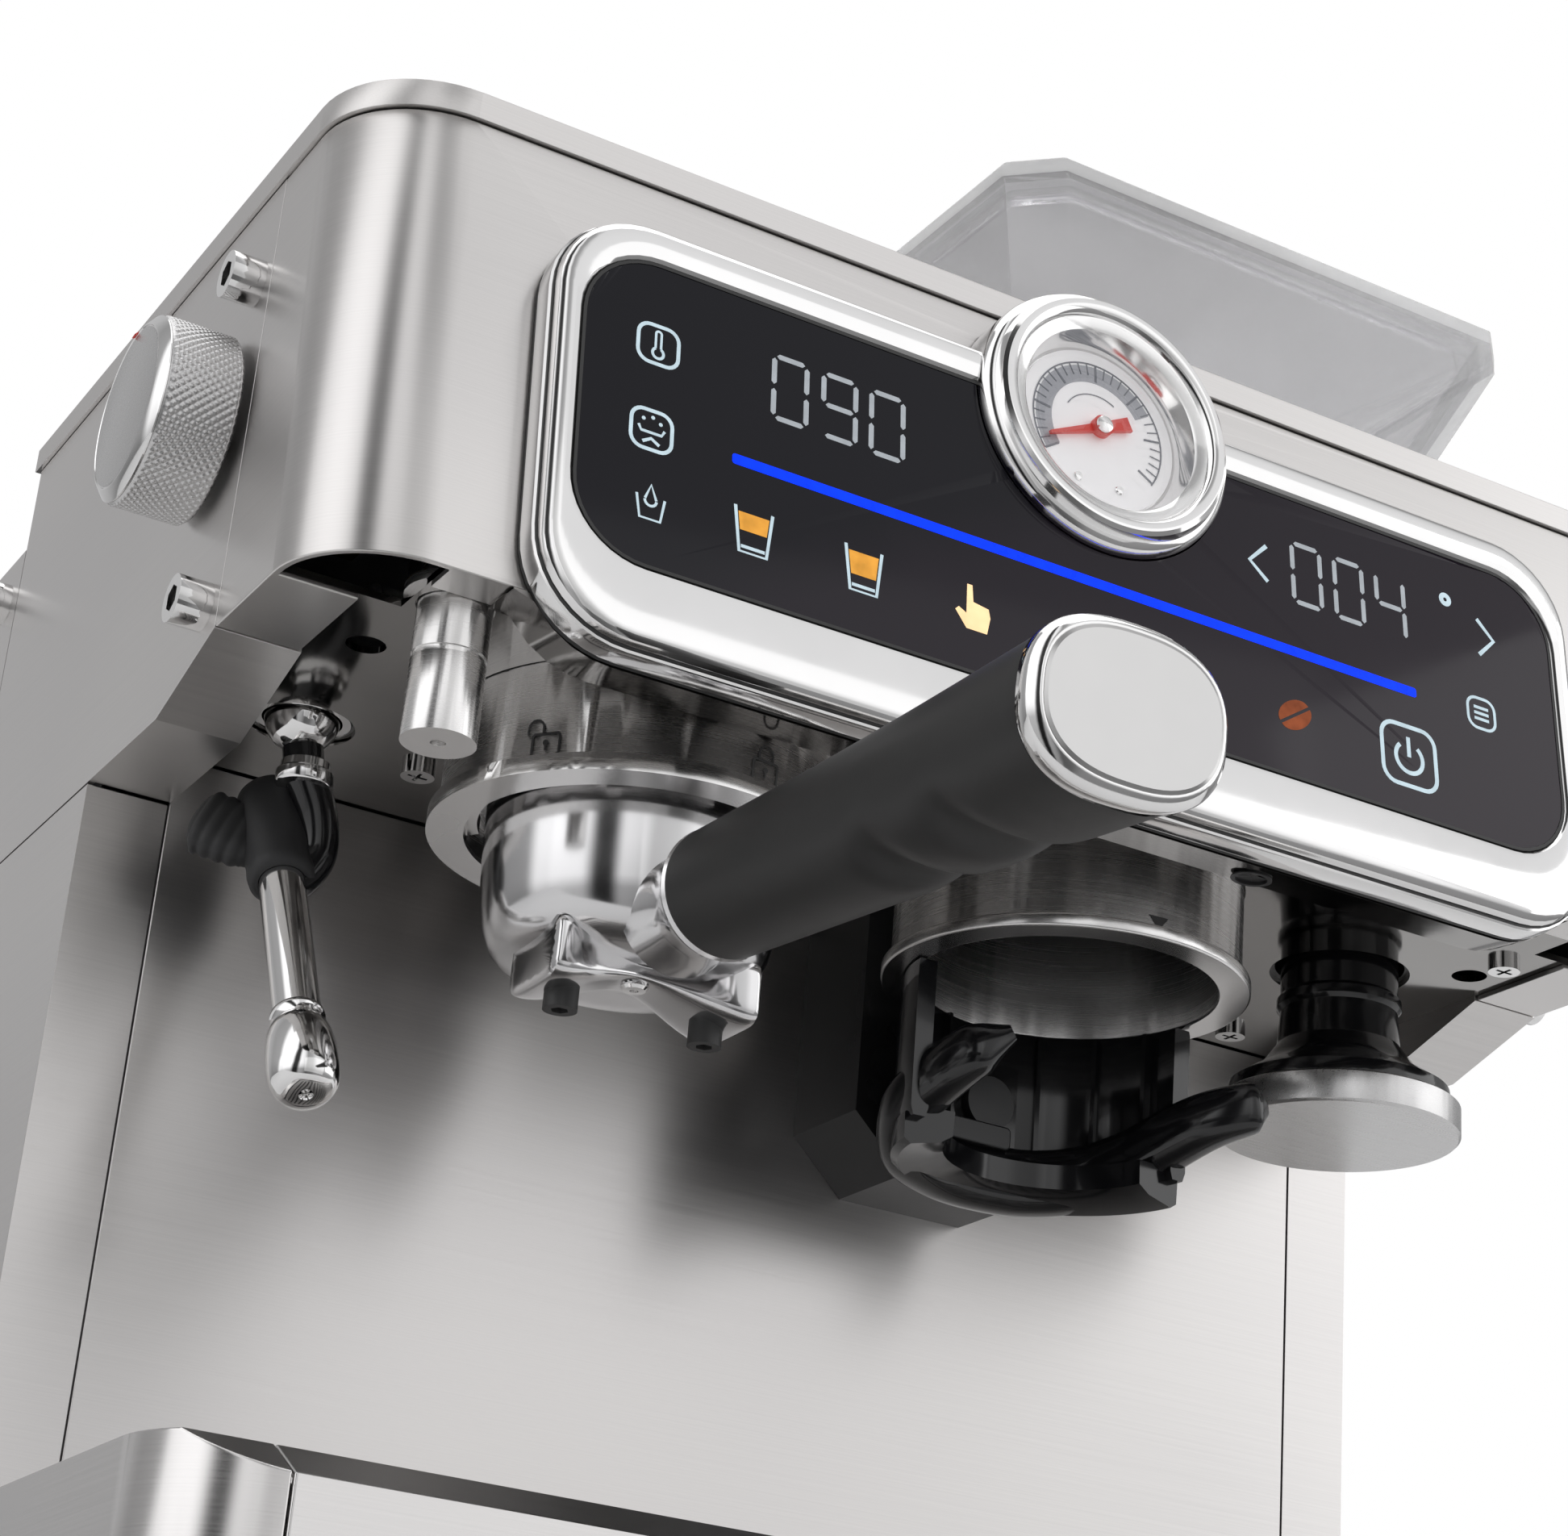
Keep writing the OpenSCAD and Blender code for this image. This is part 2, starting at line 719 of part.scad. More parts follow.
module rotor_burr() {
    color("lightgray") at_grinder() {
        translate([0, 0, burr_z - 24]) cylinder(r = 4, h = 24);
        translate([0, 0, burr_z - 2]) cylinder(r1 = 24, r2 = 14, h = 14);
        for (a = [0 : 120 : 240]) rotate(a) translate([0, -2, burr_z - 10]) cube([26, 4, 8.5]);
    }
}

module ring_burr() {
    color("lightgray") at_grinder() difference() {
        translate([0, 0, burr_z - 1]) cylinder(r = 33.7, h = 13);
        translate([0, 0, burr_z - 2]) cylinder(r1 = 26, r2 = 17, h = 15);
    }
}

ring_top = head_top + top_t + 6;

module grind_ring() {
    color("dimgray") at_grinder() {
        ring(46, 38.4, head_top + top_t - 1.8, ring_top);
        ring(40.5, 38.4, head_top - 0.8, head_top + top_t);
    }
}

// Half sizes of the hopper at its foot and at its rim.
hopper_foot = [49, 41];
hopper_rim = [76, 70];
hopper_z = ring_top + 0.4;
lid_t = 4;
hopper_top = hopper_z + hopper_h - lid_t;

module chamfered(half, cut) {
    x = half[0];
    y = half[1];
    polygon([
        [cut - x, -y], [x - cut, -y], [x, cut - y], [x, y - cut],
        [x - cut, y], [cut - x, y], [-x, y - cut], [-x, cut - y]
    ]);
}

module hopper_form(wall, z0, z1) {
    hull() {
        translate([0, 0, z0]) linear_extrude(0.1) chamfered(hopper_foot - [wall, wall], 9);
        translate([0, 0, z1 - 0.1]) linear_extrude(0.1) chamfered(hopper_rim - [wall, wall], 11);
    }
}

module bean_hopper() {
    neck_z = head_top - 1;
    color("gray", 0.6) at_grinder() difference() {
        union() {
            hopper_form(0, hopper_z, hopper_top);
            translate([0, 0, neck_z]) cylinder(r = 38, h = hopper_z - neck_z + 1);
        }
        hopper_form(2.4, hopper_z + 2.4, hopper_top + 0.1);
        translate([0, 0, neck_z - 1]) cylinder(r = 35, h = 30);
    }
}

module hopper_lid() {
    color("gray", 0.6) at_grinder() {
        translate([0, 0, hopper_top]) linear_extrude(lid_t) chamfered(hopper_rim, 11);
        translate([0, 0, hopper_top - 3]) linear_extrude(3.2) difference() {
            chamfered(hopper_rim - [5, 5], 10);
            chamfered(hopper_rim - [7, 7], 10);
        }
    }
}

// ---- tamper ----

module tamper_handle() {
    color("black") at_tamper() translate([0, 0, head_z]) rotate_extrude() polygon([
        [0, -30.4], [25.5, -30.4], [25, -27], [18, -22.5], [14, -17], [13.4, -9], [14.2, -8],
        [14.2, -6], [13.4, -5], [13.4, 14], [12, 16], [0, 16]
    ]);
}

module tamper_base() {
    r = tamper_r;
    color("silver") at_tamper() translate([0, 0, head_z]) rotate_extrude() polygon([
        [0, -38], [r - 0.6, -38], [r, -37.4], [r, -31], [r - 0.8, -30.4], [0, -30.4]
    ]);
}

module tamper_socket() {
    color("dimgray") at_tamper() difference() {
        translate([0, 0, plate_top]) cylinder(r = 19, h = 22);
        translate([0, 0, plate_top - 1]) cylinder(r = 14.8, h = 15);
    }
}

// ---- drip tray ----

tray_top = 60;
// Back edge of the broad ledge behind the tray's front, which carries the grid
tray_ledge_y = -34;

module drip_tray() {
    color("dimgray") difference() {
        block([-141, base_front + sheet, pan_top + gap], [141, 66, tray_top]);
        block([-138.5, tray_ledge_y, pan_top + 3], [138.5, 63.5, tray_top + 1]);
    }
}

module drip_tray_front() {
    t = sheet;
    z0 = pan_top + gap;
    z1 = base_h - chamfer_z;
    y0 = base_front;
    y1 = base_front + chamfer_y;
    color("silver") translate([-fascia_w / 2, 0, 0]) rotate([90, 0, 90]) linear_extrude(fascia_w)
        polygon([
            [y0, z0], [y0, z1], [y1, base_h], [y1 + 3, base_h], [y1 + 3, base_h - t],
            [y1 + 0.26 * t, base_h - t], [y0 + t, z1 - 0.59 * t], [y0 + t, z0]
        ]);
}

module drip_grid() {
    color("silver") difference() {
        block([-140, -35.5, tray_top], [140, 65, tray_top + 3]);
        for (x = [-128 : 8 : 128])
            block([x - 1.7, -27, tray_top - 1], [x + 1.7, 56, tray_top + 4]);
    }
}

// ---- water tank ----

tank_y = 195;

module water_tank() {
    color("lightblue", 0.5) difference() {
        translate([0, tank_y, base_h]) linear_extrude(tank_h) round_rect(300, 60, 8);
        translate([0, tank_y, base_h + 3]) linear_extrude(tank_h) round_rect(295, 55, 6);
    }
}

module tank_lid() {
    z1 = base_h + tank_h;
    color("dimgray") translate([0, tank_y, 0]) {
        translate([0, 0, z1]) linear_extrude(3) round_rect(306, 64, 9);
        translate([0, 0, z1 - 4]) linear_extrude(5) round_rect(290, 50, 5);
    }
}

// ---- placement ----

module placed() translate(centre_shift) children();

placed() feet();
placed() chassis();
placed() base_shell();
placed() column_sides();
placed() backsplash();
placed() left_head_panel();
placed() right_head_panel();
placed() head_wrap();
placed() top_plate();
placed() under_plate();
placed() rear_shell();
placed() side_bolts();
placed() plate_screws();
placed() control_bezel();
placed() touch_panel();
placed() circuit_boards();
placed() gauge_housing();
placed() gauge_dial();
placed() gauge_needle();
placed() gauge_lens();
placed() group_collar();
placed() group_gasket();
placed() shower_screen();
placed() brew_boiler();
placed() portafilter_bowl();
placed() filter_basket();
placed() spout_block();
placed() spout_screws();
placed() handle_grip();
placed() handle_cap();
placed() hot_water_spout();
placed() steam_knob();
placed() steam_valve();
placed() wand_socket();
placed() wand_swivel();
placed() steam_wand();
placed() wand_grip();
placed() steam_boiler();
placed() water_pump();
placed() water_hoses();
placed() cord_gland();
placed() outlet_collar();
placed() grind_cradle();
placed() chute_housing();
placed() grind_button();
placed() grinder_body();
placed() grinder_motor();
placed() rotor_burr();
placed() ring_burr();
placed() grind_ring();
placed() bean_hopper();
placed() hopper_lid();
placed() tamper_handle();
placed() tamper_base();
placed() tamper_socket();
placed() drip_tray();
placed() drip_tray_front();
placed() drip_grid();
placed() water_tank();
placed() tank_lid();
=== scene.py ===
import math

import bmesh
import bpy
from mathutils import Matrix, Vector


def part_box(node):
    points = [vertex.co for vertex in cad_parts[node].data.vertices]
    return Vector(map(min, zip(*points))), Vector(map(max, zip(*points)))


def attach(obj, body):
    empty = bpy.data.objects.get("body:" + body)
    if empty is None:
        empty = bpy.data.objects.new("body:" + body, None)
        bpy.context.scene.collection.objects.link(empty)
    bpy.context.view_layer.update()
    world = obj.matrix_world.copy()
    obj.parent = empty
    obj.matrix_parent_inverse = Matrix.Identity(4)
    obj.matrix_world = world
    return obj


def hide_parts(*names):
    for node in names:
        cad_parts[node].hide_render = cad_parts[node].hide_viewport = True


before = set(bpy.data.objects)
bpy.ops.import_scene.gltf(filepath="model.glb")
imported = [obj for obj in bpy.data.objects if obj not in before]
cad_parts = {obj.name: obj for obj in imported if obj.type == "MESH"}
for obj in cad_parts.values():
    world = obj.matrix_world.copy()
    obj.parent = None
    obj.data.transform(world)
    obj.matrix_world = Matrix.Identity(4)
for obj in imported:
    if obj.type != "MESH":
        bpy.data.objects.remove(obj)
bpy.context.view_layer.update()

MM = 0.001
FACE_LEAN = math.radians(6)
HANDLE_TILT = math.radians(3.7)

# ---- the machine's own axes, found from the CAD nodes; all sizes below are in mm ----
bezel_lo, bezel_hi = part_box("control_bezel")
seam_lo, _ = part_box("left_head_panel")
wrap_lo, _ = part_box("head_wrap")
ORIGIN = Vector(((bezel_lo.x + bezel_hi.x) / 2, seam_lo.y - 0.3 * MM, wrap_lo.z))

FACE_Y = -52.7
GROUP_X, GROUP_Y = -73, -3
HANDLE_Z = -41
OUTLET_X, OUTLET_Y = 37, 6


def at(x, y, z):
    """A point from the head's lower front edge: x across, y back from the seam, z up."""
    return ORIGIN + Vector((x, y, z)) * MM


def on_face(x, v, d):
    """A point on the leaning face: v up the face, d out from it."""
    c, s = math.cos(FACE_LEAN), math.sin(FACE_LEAN)
    return at(x, FACE_Y + v * s - d * c, v * c + d * s)


def at_group(x, y, z):
    """A point from the brew group's upright axis."""
    return at(GROUP_X + x, GROUP_Y + y, z)


def at_outlet(x, y, z):
    """A point from the grinder outlet's upright axis."""
    return at(OUTLET_X + x, OUTLET_Y + y, z)


def on_handle(x, up, along):
    """A point from the portafilter handle's axis, which runs forward and a little down."""
    c, s = math.cos(HANDLE_TILT), math.sin(HANDLE_TILT)
    return at_group(x, -along * c - up * s, HANDLE_Z - along * s + up * c)


# ---- camera, fitted to the photograph ----
CAMERA_PLACE = (-338.5, -560.8, -265.2)
VIEW_RIGHT = Vector((0.86335, -0.49844, 0.07866))
VIEW_UP = Vector((-0.25945, -0.30476, 0.91641))
VIEW_BACK = Vector((-0.4328, -0.81159, -0.39244))
SENSOR_WIDTH = 36
LENS = 76.124074
cam_data = bpy.data.cameras.new("camera")
cam = bpy.data.objects.new("camera", cam_data)
bpy.context.collection.objects.link(cam)
cam_data.sensor_width = SENSOR_WIDTH
cam_data.lens = LENS
cam_data.clip_start = 0.01
turn = Matrix((VIEW_RIGHT, VIEW_UP, VIEW_BACK)).transposed().to_4x4()
cam.matrix_world = Matrix.Translation(at(*CAMERA_PLACE)) @ turn
bpy.context.scene.camera = cam
bpy.context.scene.view_settings.view_transform = "Standard"


# ---- material building ----
def new_mat(name):
    m = bpy.data.materials.new(name)
    m.use_nodes = True
    nt = m.node_tree
    return m, nt, nt.nodes["Principled BSDF"]


def coords(nt, scale):
    tc = nt.nodes.new("ShaderNodeTexCoord")
    mp = nt.nodes.new("ShaderNodeMapping")
    mp.inputs["Scale"].default_value = scale
    nt.links.new(tc.outputs["Object"], mp.inputs["Vector"])
    return mp.outputs["Vector"]


def noise(nt, scale, detail=3.0, rough=0.55):
    n = nt.nodes.new("ShaderNodeTexNoise")
    n.inputs["Scale"].default_value = 1.0
    n.inputs["Detail"].default_value = detail
    n.inputs["Roughness"].default_value = rough
    nt.links.new(coords(nt, scale), n.inputs["Vector"])
    return n.outputs["Fac"]


def even(scale):
    return (scale, scale, scale)


def ramp(nt, fac, stops):
    r = nt.nodes.new("ShaderNodeValToRGB")
    elements = r.color_ramp.elements
    while len(elements) < len(stops):
        elements.new(0.5)
    for element, (position, color) in zip(elements, stops):
        element.position = position
        element.color = (*color, 1)
    nt.links.new(fac, r.inputs["Fac"])
    return r.outputs["Color"]


def map_range(nt, value, from_lo, from_hi, to_lo=0.0, to_hi=1.0):
    r = nt.nodes.new("ShaderNodeMapRange")
    for key, number in (("From Min", from_lo), ("From Max", from_hi), ("To Min", to_lo), ("To Max", to_hi)):
        r.inputs[key].default_value = number
    nt.links.new(value, r.inputs["Value"])
    return r.outputs["Result"]


def span(nt, fac, lo, hi):
    """Spreads the middle of a noise between two values."""
    return map_range(nt, fac, 0.3, 0.7, lo, hi)


def tones(nt, fac, low, high):
    """Two colours across the middle of a noise."""
    return ramp(nt, fac, [(0.3, low), (0.7, high)])


def bump(nt, bsdf, height, strength, distance):
    b = nt.nodes.new("ShaderNodeBump")
    b.inputs["Strength"].default_value = strength
    b.inputs["Distance"].default_value = distance
    nt.links.new(height, b.inputs["Height"])
    nt.links.new(b.outputs["Normal"], bsdf.inputs["Normal"])


def multiply(nt, first, second):
    mix = nt.nodes.new("ShaderNodeMix")
    mix.data_type = "RGBA"
    mix.blend_type = "MULTIPLY"
    mix.inputs[0].default_value = 1.0
    nt.links.new(first, mix.inputs[6])
    nt.links.new(second, mix.inputs[7])
    return mix.outputs[2]


def multiply_add(nt, value, factor, addend):
    step = nt.nodes.new("ShaderNodeMath")
    step.operation = "MULTIPLY_ADD"
    step.inputs[1].default_value = factor
    nt.links.new(value, step.inputs[0])
    nt.links.new(addend, step.inputs[2])
    return step.outputs[0]


def shade(color, k):
    return tuple(min(1.0, max(0.0, v * k)) for v in color)


def brushed(name, color, rough=0.3, grain="level", aniso=0.6, contrast=0.035, depth=1.0):
    """Brushed sheet: fine streaks that run level round the case, or along X on flat tops."""
    m, nt, b = new_mat(name)
    scale, grain_axis = {
        "level": ((14, 14, 2600), (0, 0.12, 1)),
        "x": ((14, 2600, 2600), (0, 1, 0.3)),
    }[grain]
    fine = noise(nt, scale, 4, 0.65)
    broad = noise(nt, (5, 5, 9), 2)
    streaks = tones(nt, fine, shade(color, 1 - contrast), shade(color, 1 + contrast))
    clouds = tones(nt, broad, (0.93, 0.93, 0.94), (1, 1, 1))
    nt.links.new(multiply(nt, streaks, clouds), b.inputs["Base Color"])
    nt.links.new(span(nt, fine, rough - 0.02, rough + 0.03), b.inputs["Roughness"])
    b.inputs["Metallic"].default_value = 1.0
    b.inputs["Anisotropic"].default_value = aniso
    b.inputs["Anisotropic Rotation"].default_value = 0.25
    geo = nt.nodes.new("ShaderNodeNewGeometry")
    cross = nt.nodes.new("ShaderNodeVectorMath")
    cross.operation = "CROSS_PRODUCT"
    cross.inputs[1].default_value = grain_axis
    nt.links.new(geo.outputs["Normal"], cross.inputs[0])
    nt.links.new(cross.outputs[0], b.inputs["Tangent"])
    bump(nt, b, fine, 0.025 * depth, 0.00001)
    return m


def polished(name, color, rough=0.06, smear=0.05):
    """Bright metal with faint smears."""
    m, nt, b = new_mat(name)
    cloud = noise(nt, even(60), 4)
    fine = noise(nt, even(900))
    nt.links.new(tones(nt, cloud, shade(color, 0.96), color), b.inputs["Base Color"])
    nt.links.new(span(nt, cloud, rough, rough + smear), b.inputs["Roughness"])
    b.inputs["Metallic"].default_value = 1.0
    bump(nt, b, fine, 0.03, 0.00002)
    return m


def plastic(name, color, rough=0.4, grain=500, depth=0.25, coat=0.0, variation=0.25):
    """Moulded plastic, rubber or paint with a fine grain."""
    m, nt, b = new_mat(name)
    fine = noise(nt, even(grain))
    broad = noise(nt, even(25))
    patches = tones(nt, broad, shade(color, 1 - variation), shade(color, 1 + variation))
    nt.links.new(patches, b.inputs["Base Color"])
    nt.links.new(span(nt, broad, rough - 0.04, rough + 0.06), b.inputs["Roughness"])
    b.inputs["Coat Weight"].default_value = coat
    b.inputs["Coat Roughness"].default_value = 0.05
    bump(nt, b, fine, depth, 0.00005)
    return m


def clear(name, color, rough, ior, alpha):
    """See-through moulding."""
    m, nt, b = new_mat(name)
    cloud = noise(nt, even(30))
    nt.links.new(tones(nt, cloud, shade(color, 0.94), color), b.inputs["Base Color"])
    nt.links.new(span(nt, cloud, rough, rough + 0.05), b.inputs["Roughness"])
    b.inputs["Transmission Weight"].default_value = 1.0
    b.inputs["IOR"].default_value = ior
    b.inputs["Alpha"].default_value = alpha
    return m


def glass_with_painted_reflection(name):
    """Black glass with a painted reflection: a violet sheen that grows lighter across the panel, away from
    its darkest upper left corner.
    """
    m, nt, b = new_mat(name)
    tc = nt.nodes.new("ShaderNodeTexCoord")
    sep = nt.nodes.new("ShaderNodeSeparateXYZ")
    nt.links.new(tc.outputs["Object"], sep.inputs[0])
    diagonal = multiply_add(nt, sep.outputs["Z"], -1.7, sep.outputs["X"])
    level = map_range(nt, diagonal, -0.62, -0.30)
    cloud = noise(nt, even(40))
    smoke = multiply_add(nt, cloud, 0.06, level)
    # Painted reflection: the glass colour runs from near black to a lighter violet along the diagonal.
    painted_reflection = ramp(nt, smoke, [
        (0.1, (0.002, 0.002, 0.006)),
        (0.42, (0.004, 0.0035, 0.008)),
        (0.5, (0.014, 0.010, 0.017)),
        (1.0, (0.026, 0.019, 0.027)),
    ])
    nt.links.new(painted_reflection, b.inputs["Base Color"])
    b.inputs["Specular IOR Level"].default_value = 0.22
    nt.links.new(span(nt, cloud, 0.04, 0.07), b.inputs["Roughness"])
    return m


def glow(name, color, strength, edge=0.85):
    """A lit colour that fades a little across the film: backlit print on the touch panel, and on the gauge
    dial, which is no lamp, a painted glow.
    """
    m, nt, b = new_mat(name)
    cloud = noise(nt, even(260), 2)
    lit = tones(nt, cloud, shade(color, edge), color)
    nt.links.new(lit, b.inputs["Base Color"])
    nt.links.new(lit, b.inputs["Emission Color"])
    b.inputs["Emission Strength"].default_value = strength
    b.inputs["Specular IOR Level"].default_value = 0.08
    nt.links.new(span(nt, cloud, 0.26, 0.34), b.inputs["Roughness"])
    return m


# ---- materials ----
STEEL = (0.70, 0.683, 0.668)
M = {
    "steel": brushed("steel_level", STEEL, 0.30),
    "steel_flat": brushed("steel_along_x", STEEL, 0.32, "x"),
    "steel_base": brushed("steel_base", (0.72, 0.705, 0.69), 0.24),
    "satin": brushed("satin_disc", (0.66, 0.655, 0.65), 0.28, "x", 0.4, 0.04),
    "chrome": polished("chrome", (0.86, 0.855, 0.85)),
    "collar": brushed("collar_steel", (0.88, 0.87, 0.86), 0.26, "level", 0.3, 0.02, 0.5),
    "cast": polished("cast_alloy", (0.74, 0.735, 0.74), 0.10, 0.08),
    "mirror": polished("mirror_plate", (0.33, 0.32, 0.31), 0.07, 0.06),
    "inner": brushed("inner_steel", (0.5, 0.5, 0.5), 0.35),
    "glass_black": glass_with_painted_reflection("glass_black"),
    "lens": clear("lens", (0.98, 0.98, 0.98), 0.0, 1.15, 0.07),
    "smoke": clear("smoke", (0.84, 0.83, 0.855), 0.05, 1.3, 0.42),
    "tank": clear("tank_clear", (0.80, 0.84, 0.86), 0.06, 1.4, 0.7),
    "gloss": plastic("gloss_black", (0.008, 0.008, 0.009), 0.12, 80, 0.02, 0.2),
    "matte": plastic("matte_black", (0.016, 0.0155, 0.0155), 0.46, 1400, 0.2),
    "grip": plastic("grip_rubber", (0.022, 0.022, 0.023), 0.55, 1100, 0.5),
    "housing": plastic("housing_black", (0.018, 0.018, 0.019), 0.3, 900, 0.2),
    "rubber": plastic("foot_rubber", (0.02, 0.02, 0.02), 0.7, 700, 0.6),
    "frame": plastic("frame_paint", (0.22, 0.22, 0.23), 0.45, 500, 0.3),
    "motor": plastic("motor_paint", (0.07, 0.07, 0.075), 0.45, 500, 0.3),
    "satin_cap": polished("satin_cap", (0.60, 0.595, 0.59), 0.16, 0.04),
    "casting": plastic("casting", (0.32, 0.32, 0.32), 0.5, 350, 0.6),
    # The gauge dial is no lamp: its emission is a painted glow that keeps the dial white.
    "dial": glow("dial_print", (0.92, 0.91, 0.92), 0.22, 0.97),
    "dial_grey": plastic("dial_grey", (0.17, 0.18, 0.21), 0.45, 600, 0.1, 0.0, 0.08),
    "dial_pale": plastic("dial_pale", (0.45, 0.46, 0.5), 0.45, 600, 0.1, 0.0, 0.05),
    "red": plastic("needle_red", (0.75, 0.035, 0.02), 0.35, 600, 0.1, 0.3, 0.08),
    "brass": polished("brass", (0.75, 0.56, 0.28), 0.2, 0.1),
    "green": plastic("board_green", (0.02, 0.16, 0.07), 0.45, 500, 0.3),
    "hose": plastic("hose_silicone", (0.7, 0.7, 0.68), 0.5, 400, 0.2, 0.0, 0.05),
    "ink": plastic("ink_black", (0.03, 0.03, 0.03), 0.5, 500, 0.1),
    "icon": glow("icon_white", (0.50, 0.62, 0.68), 0.62),
    "icon_dim": glow("icon_dim", (0.40, 0.43, 0.46), 0.45),
    "blue": glow("blue_line", (0.0, 0.035, 1.0), 1.0, 0.8),
    "coffee": glow("icon_coffee", (0.72, 0.33, 0.05), 0.7, 0.7),
    "skin": glow("icon_hand", (0.95, 0.66, 0.36), 0.8, 0.85),
    "bean": glow("icon_bean", (0.22, 0.055, 0.02), 0.8, 0.6),
}

NODE_MAT = {
    "feet": "rubber", "chassis": "frame", "base_shell": "steel_base", "column_sides": "steel",
    "backsplash": "steel", "left_head_panel": "steel", "right_head_panel": "steel",
    "head_wrap": "steel", "top_plate": "steel_flat", "under_plate": "mirror", "rear_shell": "steel",
    "side_bolts": "chrome", "plate_screws": "chrome", "control_bezel": "chrome",
    "touch_panel": "glass_black", "circuit_boards": "green", "gauge_housing": "chrome",
    "gauge_dial": "dial", "gauge_needle": "red", "gauge_lens": "lens", "group_collar": "collar",
    "group_gasket": "rubber", "shower_screen": "inner", "brew_boiler": "inner",
    "portafilter_bowl": "cast", "filter_basket": "inner", "spout_block": "cast",
    "spout_screws": "ink", "handle_grip": "matte", "handle_cap": "chrome",
    "hot_water_spout": "collar", "steam_knob": "satin", "steam_valve": "brass",
    "wand_socket": "inner", "wand_swivel": "chrome", "steam_wand": "chrome", "wand_grip": "grip",
    "steam_boiler": "inner", "water_pump": "motor", "water_hoses": "hose", "cord_gland": "matte",
    "outlet_collar": "collar", "grind_cradle": "gloss", "chute_housing": "housing",
    "grind_button": "housing", "grinder_body": "casting", "grinder_motor": "motor",
    "rotor_burr": "inner", "ring_burr": "inner", "grind_ring": "housing", "bean_hopper": "smoke",
    "hopper_lid": "smoke", "tamper_handle": "gloss", "tamper_base": "satin",
    "tamper_socket": "housing", "drip_tray": "housing", "drip_tray_front": "steel_base",
    "drip_grid": "steel_flat", "water_tank": "tank", "tank_lid": "housing",
}
# Edge rounding for the CAD nodes that show.
ROUND = {
    "head_wrap": 0.4, "left_head_panel": 0.4, "right_head_panel": 0.4, "top_plate": 1.2,
    "base_shell": 0.5, "drip_tray_front": 0.5, "column_sides": 0.4, "backsplash": 0.3,
    "touch_panel": 0.5, "group_collar": 0.6, "outlet_collar": 0.6, "side_bolts": 0.5,
    "chute_housing": 1.5, "tamper_base": 0.4, "tamper_handle": 0.6, "hot_water_spout": 0.5,
    "drip_grid": 0.4, "tank_lid": 0.8, "bean_hopper": 0.5, "hopper_lid": 0.9, "grind_ring": 0.8,
    "cord_gland": 0.6, "grind_button": 0.4, "drip_tray": 0.5, "feet": 0.8,
}


def bevel_edges(obj, width, angle):
    bev = obj.modifiers.new("edges", "BEVEL")
    bev.width = width * MM
    bev.segments = 3
    bev.limit_method = "ANGLE"
    bev.angle_limit = math.radians(angle)
    return bev


def dress_nodes():
    """Gives every CAD node its material, and rounds the edges that show."""
    for node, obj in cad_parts.items():
        material = M[NODE_MAT[node]]
        if obj.material_slots:
            for slot in obj.material_slots:
                slot.material = material
        else:
            obj.data.materials.append(material)
        if node in ROUND:
            weld = obj.modifiers.new("weld", "WELD")
            weld.merge_threshold = 0.01 * MM
            bev = bevel_edges(obj, ROUND[node], 30)
            bev.harden_normals = True
            bev.use_clamp_overlap = True


dress_nodes()


# ---- mesh building ----
def turned(r, a):
    """The point r from the middle at angle a."""
    return (r * math.cos(a), r * math.sin(a))


def signed_power(value, e):
    return math.copysign(abs(value) ** e, value)


def oval(w, h, power, n):
    """A rounded outline, w by h from its middle; a higher power makes it squarer."""
    pts = []
    for k in range(n):
        c, s = turned(1, 2 * math.pi * k / n)
        pts.append((w * signed_power(c, 2 / power), h * signed_power(s, 2 / power)))
    return pts


class Shape:
    """Collects closed solids and turns them into one piece."""

    def __init__(self):
        self.v = []
        self.f = []

    def walls(self, rings, steps):
        """Faces between each ring and the next one, over that many steps."""
        base = len(self.v)
        n = len(rings[0])
        for ring in rings:
            self.v.extend(ring)
        for i in range(steps):
            here = base + i * n
            there = base + (i + 1) % len(rings) * n
            for j in range(n):
                k = (j + 1) % n
                self.f.append((here + j, here + k, there + k, there + j))
        return base

    def loft(self, rings):
        """Rings joined one after the other, with both ends closed."""
        n = len(rings[0])
        base = self.walls(rings, len(rings) - 1)
        last = base + (len(rings) - 1) * n
        self.f.append(tuple(base + j for j in reversed(range(n))))
        self.f.append(tuple(last + j for j in range(n)))

    def tube(self, rings):
        """Rings joined in a loop, as for a frame or torus."""
        self.walls(rings, len(rings))

    def prism(self, loop, d0, d1, place):
        self.loft([[place(x, y, d) for x, y in loop] for d in (d0, d1)])

    def band(self, outer, inner, d0, d1, place):
        rings = []
        for p, q in zip(outer, inner):
            rings.append([place(*p, d0), place(*q, d0), place(*q, d1), place(*p, d1)])
        self.tube(rings)

    def make(self, name, mat, body, subdiv=0, smooth=40, replaces=(), bevel=0):
        me = bpy.data.meshes.new(name)
        me.from_pydata([tuple(p) for p in self.v], [], self.f)
        bm = bmesh.new()
        bm.from_mesh(me)
        bmesh.ops.remove_doubles(bm, verts=bm.verts, dist=1e-7)
        bmesh.ops.recalc_face_normals(bm, faces=bm.faces)
        bm.to_mesh(me)
        bm.free()
        me.materials.append(M[mat])
        o = bpy.data.objects.new(name, me)
        bpy.context.collection.objects.link(o)
        if bevel:
            bevel_edges(o, bevel, 32)
        if subdiv:
            s = o.modifiers.new("subdivision", "SUBSURF")
            s.levels = subdiv
            s.render_levels = subdiv
        me.shade_smooth()
        me.set_sharp_from_angle(angle=math.radians(smooth))
        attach(o, body)
        if replaces:
            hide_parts(*replaces)


